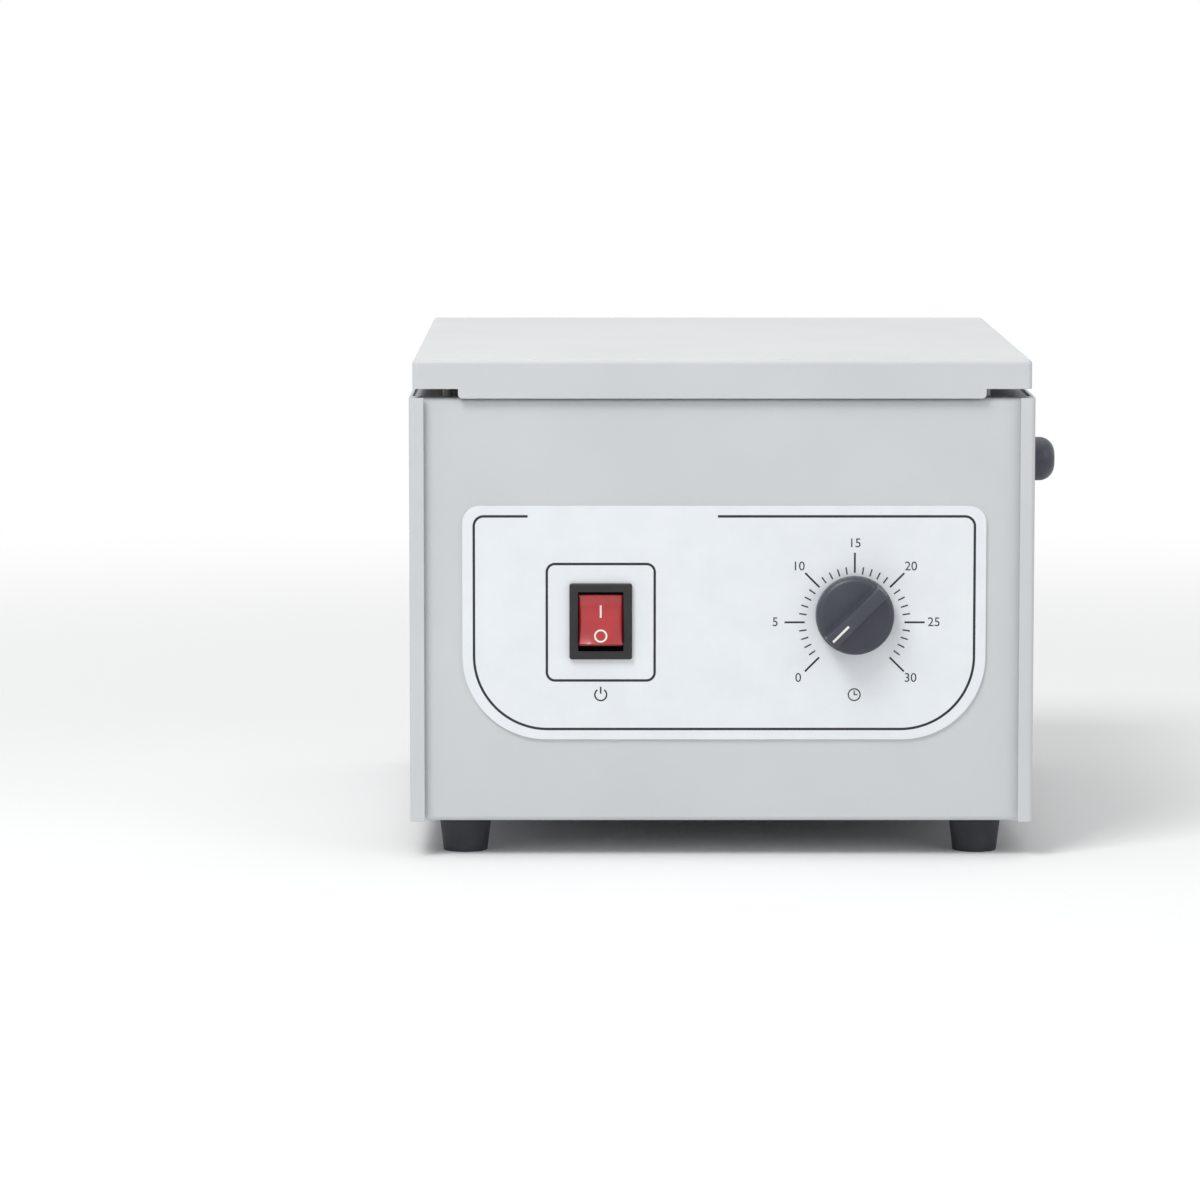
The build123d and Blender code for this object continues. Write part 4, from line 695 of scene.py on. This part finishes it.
# %% Marks on the rocker
on_mark = np.stack([np.zeros(9), np.linspace(0.9 * MM, 5.9 * MM, 9)], 1)
off_mark = arc(0, -6.6 * MM, 2.35 * MM, 0, 351)
marks = [inked(on_mark, 0.75 * MM, on_rocker), inked(off_mark, 0.7 * MM, on_rocker, True)]
piece("rocker_marks", "rocker", "rocker_red", marks, finish=ink_white)

# %% [markdown]
# ## The timer knob
#
# The knob is one moulding: a round skirt with a bar across it. Its mould needs draft, so the bar is narrower at
# the top than at the foot, and each edge has a small radius. The skirt is a turned profile. The bar is a stack
# of outlines: a long trapezium with rounded corners, in which each layer's numbers are its growth and height.

# %% Knob and pointer line
knob_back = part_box("timer_knob")[1].y
pointer_turn = radians(ZERO_ANGLE)
skirt = turned(
    np.array(
        [(0.05, 0), (15.4, 0), (15.9, 0.3), (16, 0.8), (15.85, 4.8), (15.6, 5.9), (15.0, 6.6), (14.1, 6.95),
         (13, 7.0), (6, 7.2), (0.05, 7.25)]
    ) * MM,
    96,
)
bar_corners = np.array([(-15.5, -2.8), (14.7, -3.2), (14.7, 3.2), (-15.5, 2.8)]) * MM
bar_outline = rounded(bar_corners, np.array([1.3, 1.1, 1.1, 1.3]) * MM)
bar_layers = np.array(
    [(0.3, 5.5), (0.3, 6.9), (0.12, 7.5), (0, 8.4), (-0.2, 14.8), (-0.3, 15.5), (-0.5, 15.85), (-0.8, 15.95)]
) * MM
bar = stacked(rotated(bar_outline, pointer_turn), bar_layers)
knob_place = (timer.x, knob_back, timer.z)
bar_top = knob_back - bar_layers[-1, 1]
skins = [skin(laid(skirt, knob_place, FRONT)), skin(laid(bar, knob_place, FRONT))]
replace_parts(piece("timer_dial_knob", "timer", "knob_charcoal", skins, 35), "timer_knob")


def on_knob(a, b, height):
    """A flat point along (a) and across (b) the bar as a point on its front face."""
    x = a * cos(pointer_turn) - b * sin(pointer_turn)
    z = a * sin(pointer_turn) + b * cos(pointer_turn)
    return np.stack([timer.x + x, bar_top - height, timer.z + z], -1)


pointer = inked([(4.3 * MM, 0), (13.3 * MM, 0)], 0.95 * MM, on_knob)
piece("timer_pointer", "timer", "knob_charcoal", [pointer], finish=ink_white)

# %% [markdown]
# ## Wires
#
# Inside, two sleeved leads run from the mains inlet to the switch, and from the timer to the motor. A wire
# bends in smooth curves, so each is a NURBS curve with a round section. Its points are listed in millimetres
# from the case's middle and up from the bench.

# %% The two leads
routes = {
    "mains_lead": [(-70, 115, 50), (-70, 98, 50), (-80, 72, 37), (-92, 40, 27), (-96, 6, 25), (-92, -28, 31),
                   (-76, -56, 52), (-54.2, -80, 92.2), (-54.2, -111, 92.2)],
    "motor_lead": [(64.1, -102.8, 99.9), (64.1, -86, 99.9), (62, -66, 82), (56, -48, 66), (43.2, -34.5, 58),
                   (27, -15.2, 58)],
}
lead_radius = 2.4 * MM
leads = []
for name, route in routes.items():
    curve = bpy.data.curves.new(name, "CURVE")
    curve.dimensions = "3D"
    curve.bevel_depth = lead_radius
    curve.bevel_resolution = 4
    curve.use_fill_caps = True
    spline = curve.splines.new("NURBS")
    spline.points.add(len(route) - 1)
    for point, (x, y, z) in zip(spline.points, route):
        point.co = (case.x + x * MM, case.y + y * MM, z * MM, 1)
    spline.order_u = 3
    spline.use_endpoint_u = True
    curve.materials.append(finishes["wire_sleeve"])
    lead = bpy.data.objects.new(name, curve)
    scene.collection.objects.link(lead)
    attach(lead, "case")
    leads.append(lead)
for lead in leads:
    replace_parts(lead, "wiring")
print("leads", [lead.name for lead in leads])

# %% [markdown]
# ## Floor, world and lights
#
# A pale floor and large soft lamps show a grey object without hard edges. The key light stands high on the
# left, so the knob's shadow falls to the lower right. The world is white where the camera, a reflection or a
# glass sees it, and much weaker as a light. Far from the object the floor turns plain white for the camera, so
# that it meets the white world without a line.

# %% Floor and world
reach = 6.0
white_from, white_to = 0.35, 1.3
world_light = 0.425
floor_mesh = bpy.data.meshes.new("floor")
floor_corners = [(-reach, -reach, 0), (reach, -reach, 0), (reach, reach, 0), (-reach, reach, 0)]
floor_mesh.from_pydata(floor_corners, [], [(0, 1, 2, 3)])
floor = bpy.data.objects.new("floor", floor_mesh)
scene.collection.objects.link(floor)
floor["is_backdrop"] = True
floor_finish, tree, shader, place = new_finish("pale_floor", 0.9, colour="#F2F3F3", Specular_IOR_Level=0.1)
distance = add(tree, "ShaderNodeVectorMath", {0: place}, operation="LENGTH")
span = {"Value": distance.outputs["Value"], "From Min": white_from, "From Max": white_to}
far = add(tree, "ShaderNodeMapRange", span, interpolation_type="SMOOTHSTEP")
rays = add(tree, "ShaderNodeLightPath")
both = {0: rays.outputs["Is Camera Ray"], 1: far.outputs["Result"]}
seen = add(tree, "ShaderNodeMath", both, operation="MULTIPLY")
white = add(tree, "ShaderNodeEmission", {"Color": (1, 1, 1, 1), "Strength": 1.0})
looks = {0: seen.outputs["Value"], 1: shader.outputs["BSDF"], 2: white.outputs["Emission"]}
mixed = add(tree, "ShaderNodeMixShader", looks)
tree.links.new(mixed.outputs["Shader"], tree.nodes["Material Output"].inputs["Surface"])
floor_mesh.materials.append(floor_finish)

world = bpy.data.worlds.new("studio")
world.use_nodes = True
scene.world = world
tree = world.node_tree
rays = add(tree, "ShaderNodeLightPath")
shown = rays.outputs["Is Camera Ray"]
for kind in ("Is Glossy Ray", "Is Transmission Ray"):
    shown = add(tree, "ShaderNodeMath", {0: shown, 1: rays.outputs[kind]}, operation="MAXIMUM").outputs["Value"]
strength = add(tree, "ShaderNodeMapRange", {"Value": shown, "To Min": world_light, "To Max": 1.0})
background = tree.nodes["Background"]
background.inputs["Color"].default_value = (1, 1, 1, 1)
tree.links.new(strength.outputs["Result"], background.inputs["Strength"])
print("floor", 2 * reach, "m wide, world lights at", world_light)

# %% Lamps


def lamp(name, place, target, size, power):
    """A square soft lamp that faces a point."""
    data = bpy.data.lights.new(name, "AREA")
    data.shape, data.size, data.energy = "SQUARE", size, power
    light = bpy.data.objects.new(name, data)
    scene.collection.objects.link(light)
    light.location = place
    light.rotation_euler = (Vector(target) - Vector(place)).to_track_quat("-Z", "Y").to_euler()


aim = (0, 0, 0.1)
lamp("key", (-0.9, -1.4, 2.0), aim, size=1.0, power=34)  # metres and watts
lamp("fill", (1.6, -1.4, 1.1), aim, size=1.2, power=6)
lamp("top", (0.1, 0.3, 2.1), aim, size=2.2, power=14)

# %% [markdown]
# ## The dressed box
#
# The dressed model's box is printed at the end. The dressed model has to stay inside the CAD model's box.

# %% Print the dressed box
low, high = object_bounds()
print("dressed box in mm:", [round(side / MM, 1) for side in high - low])
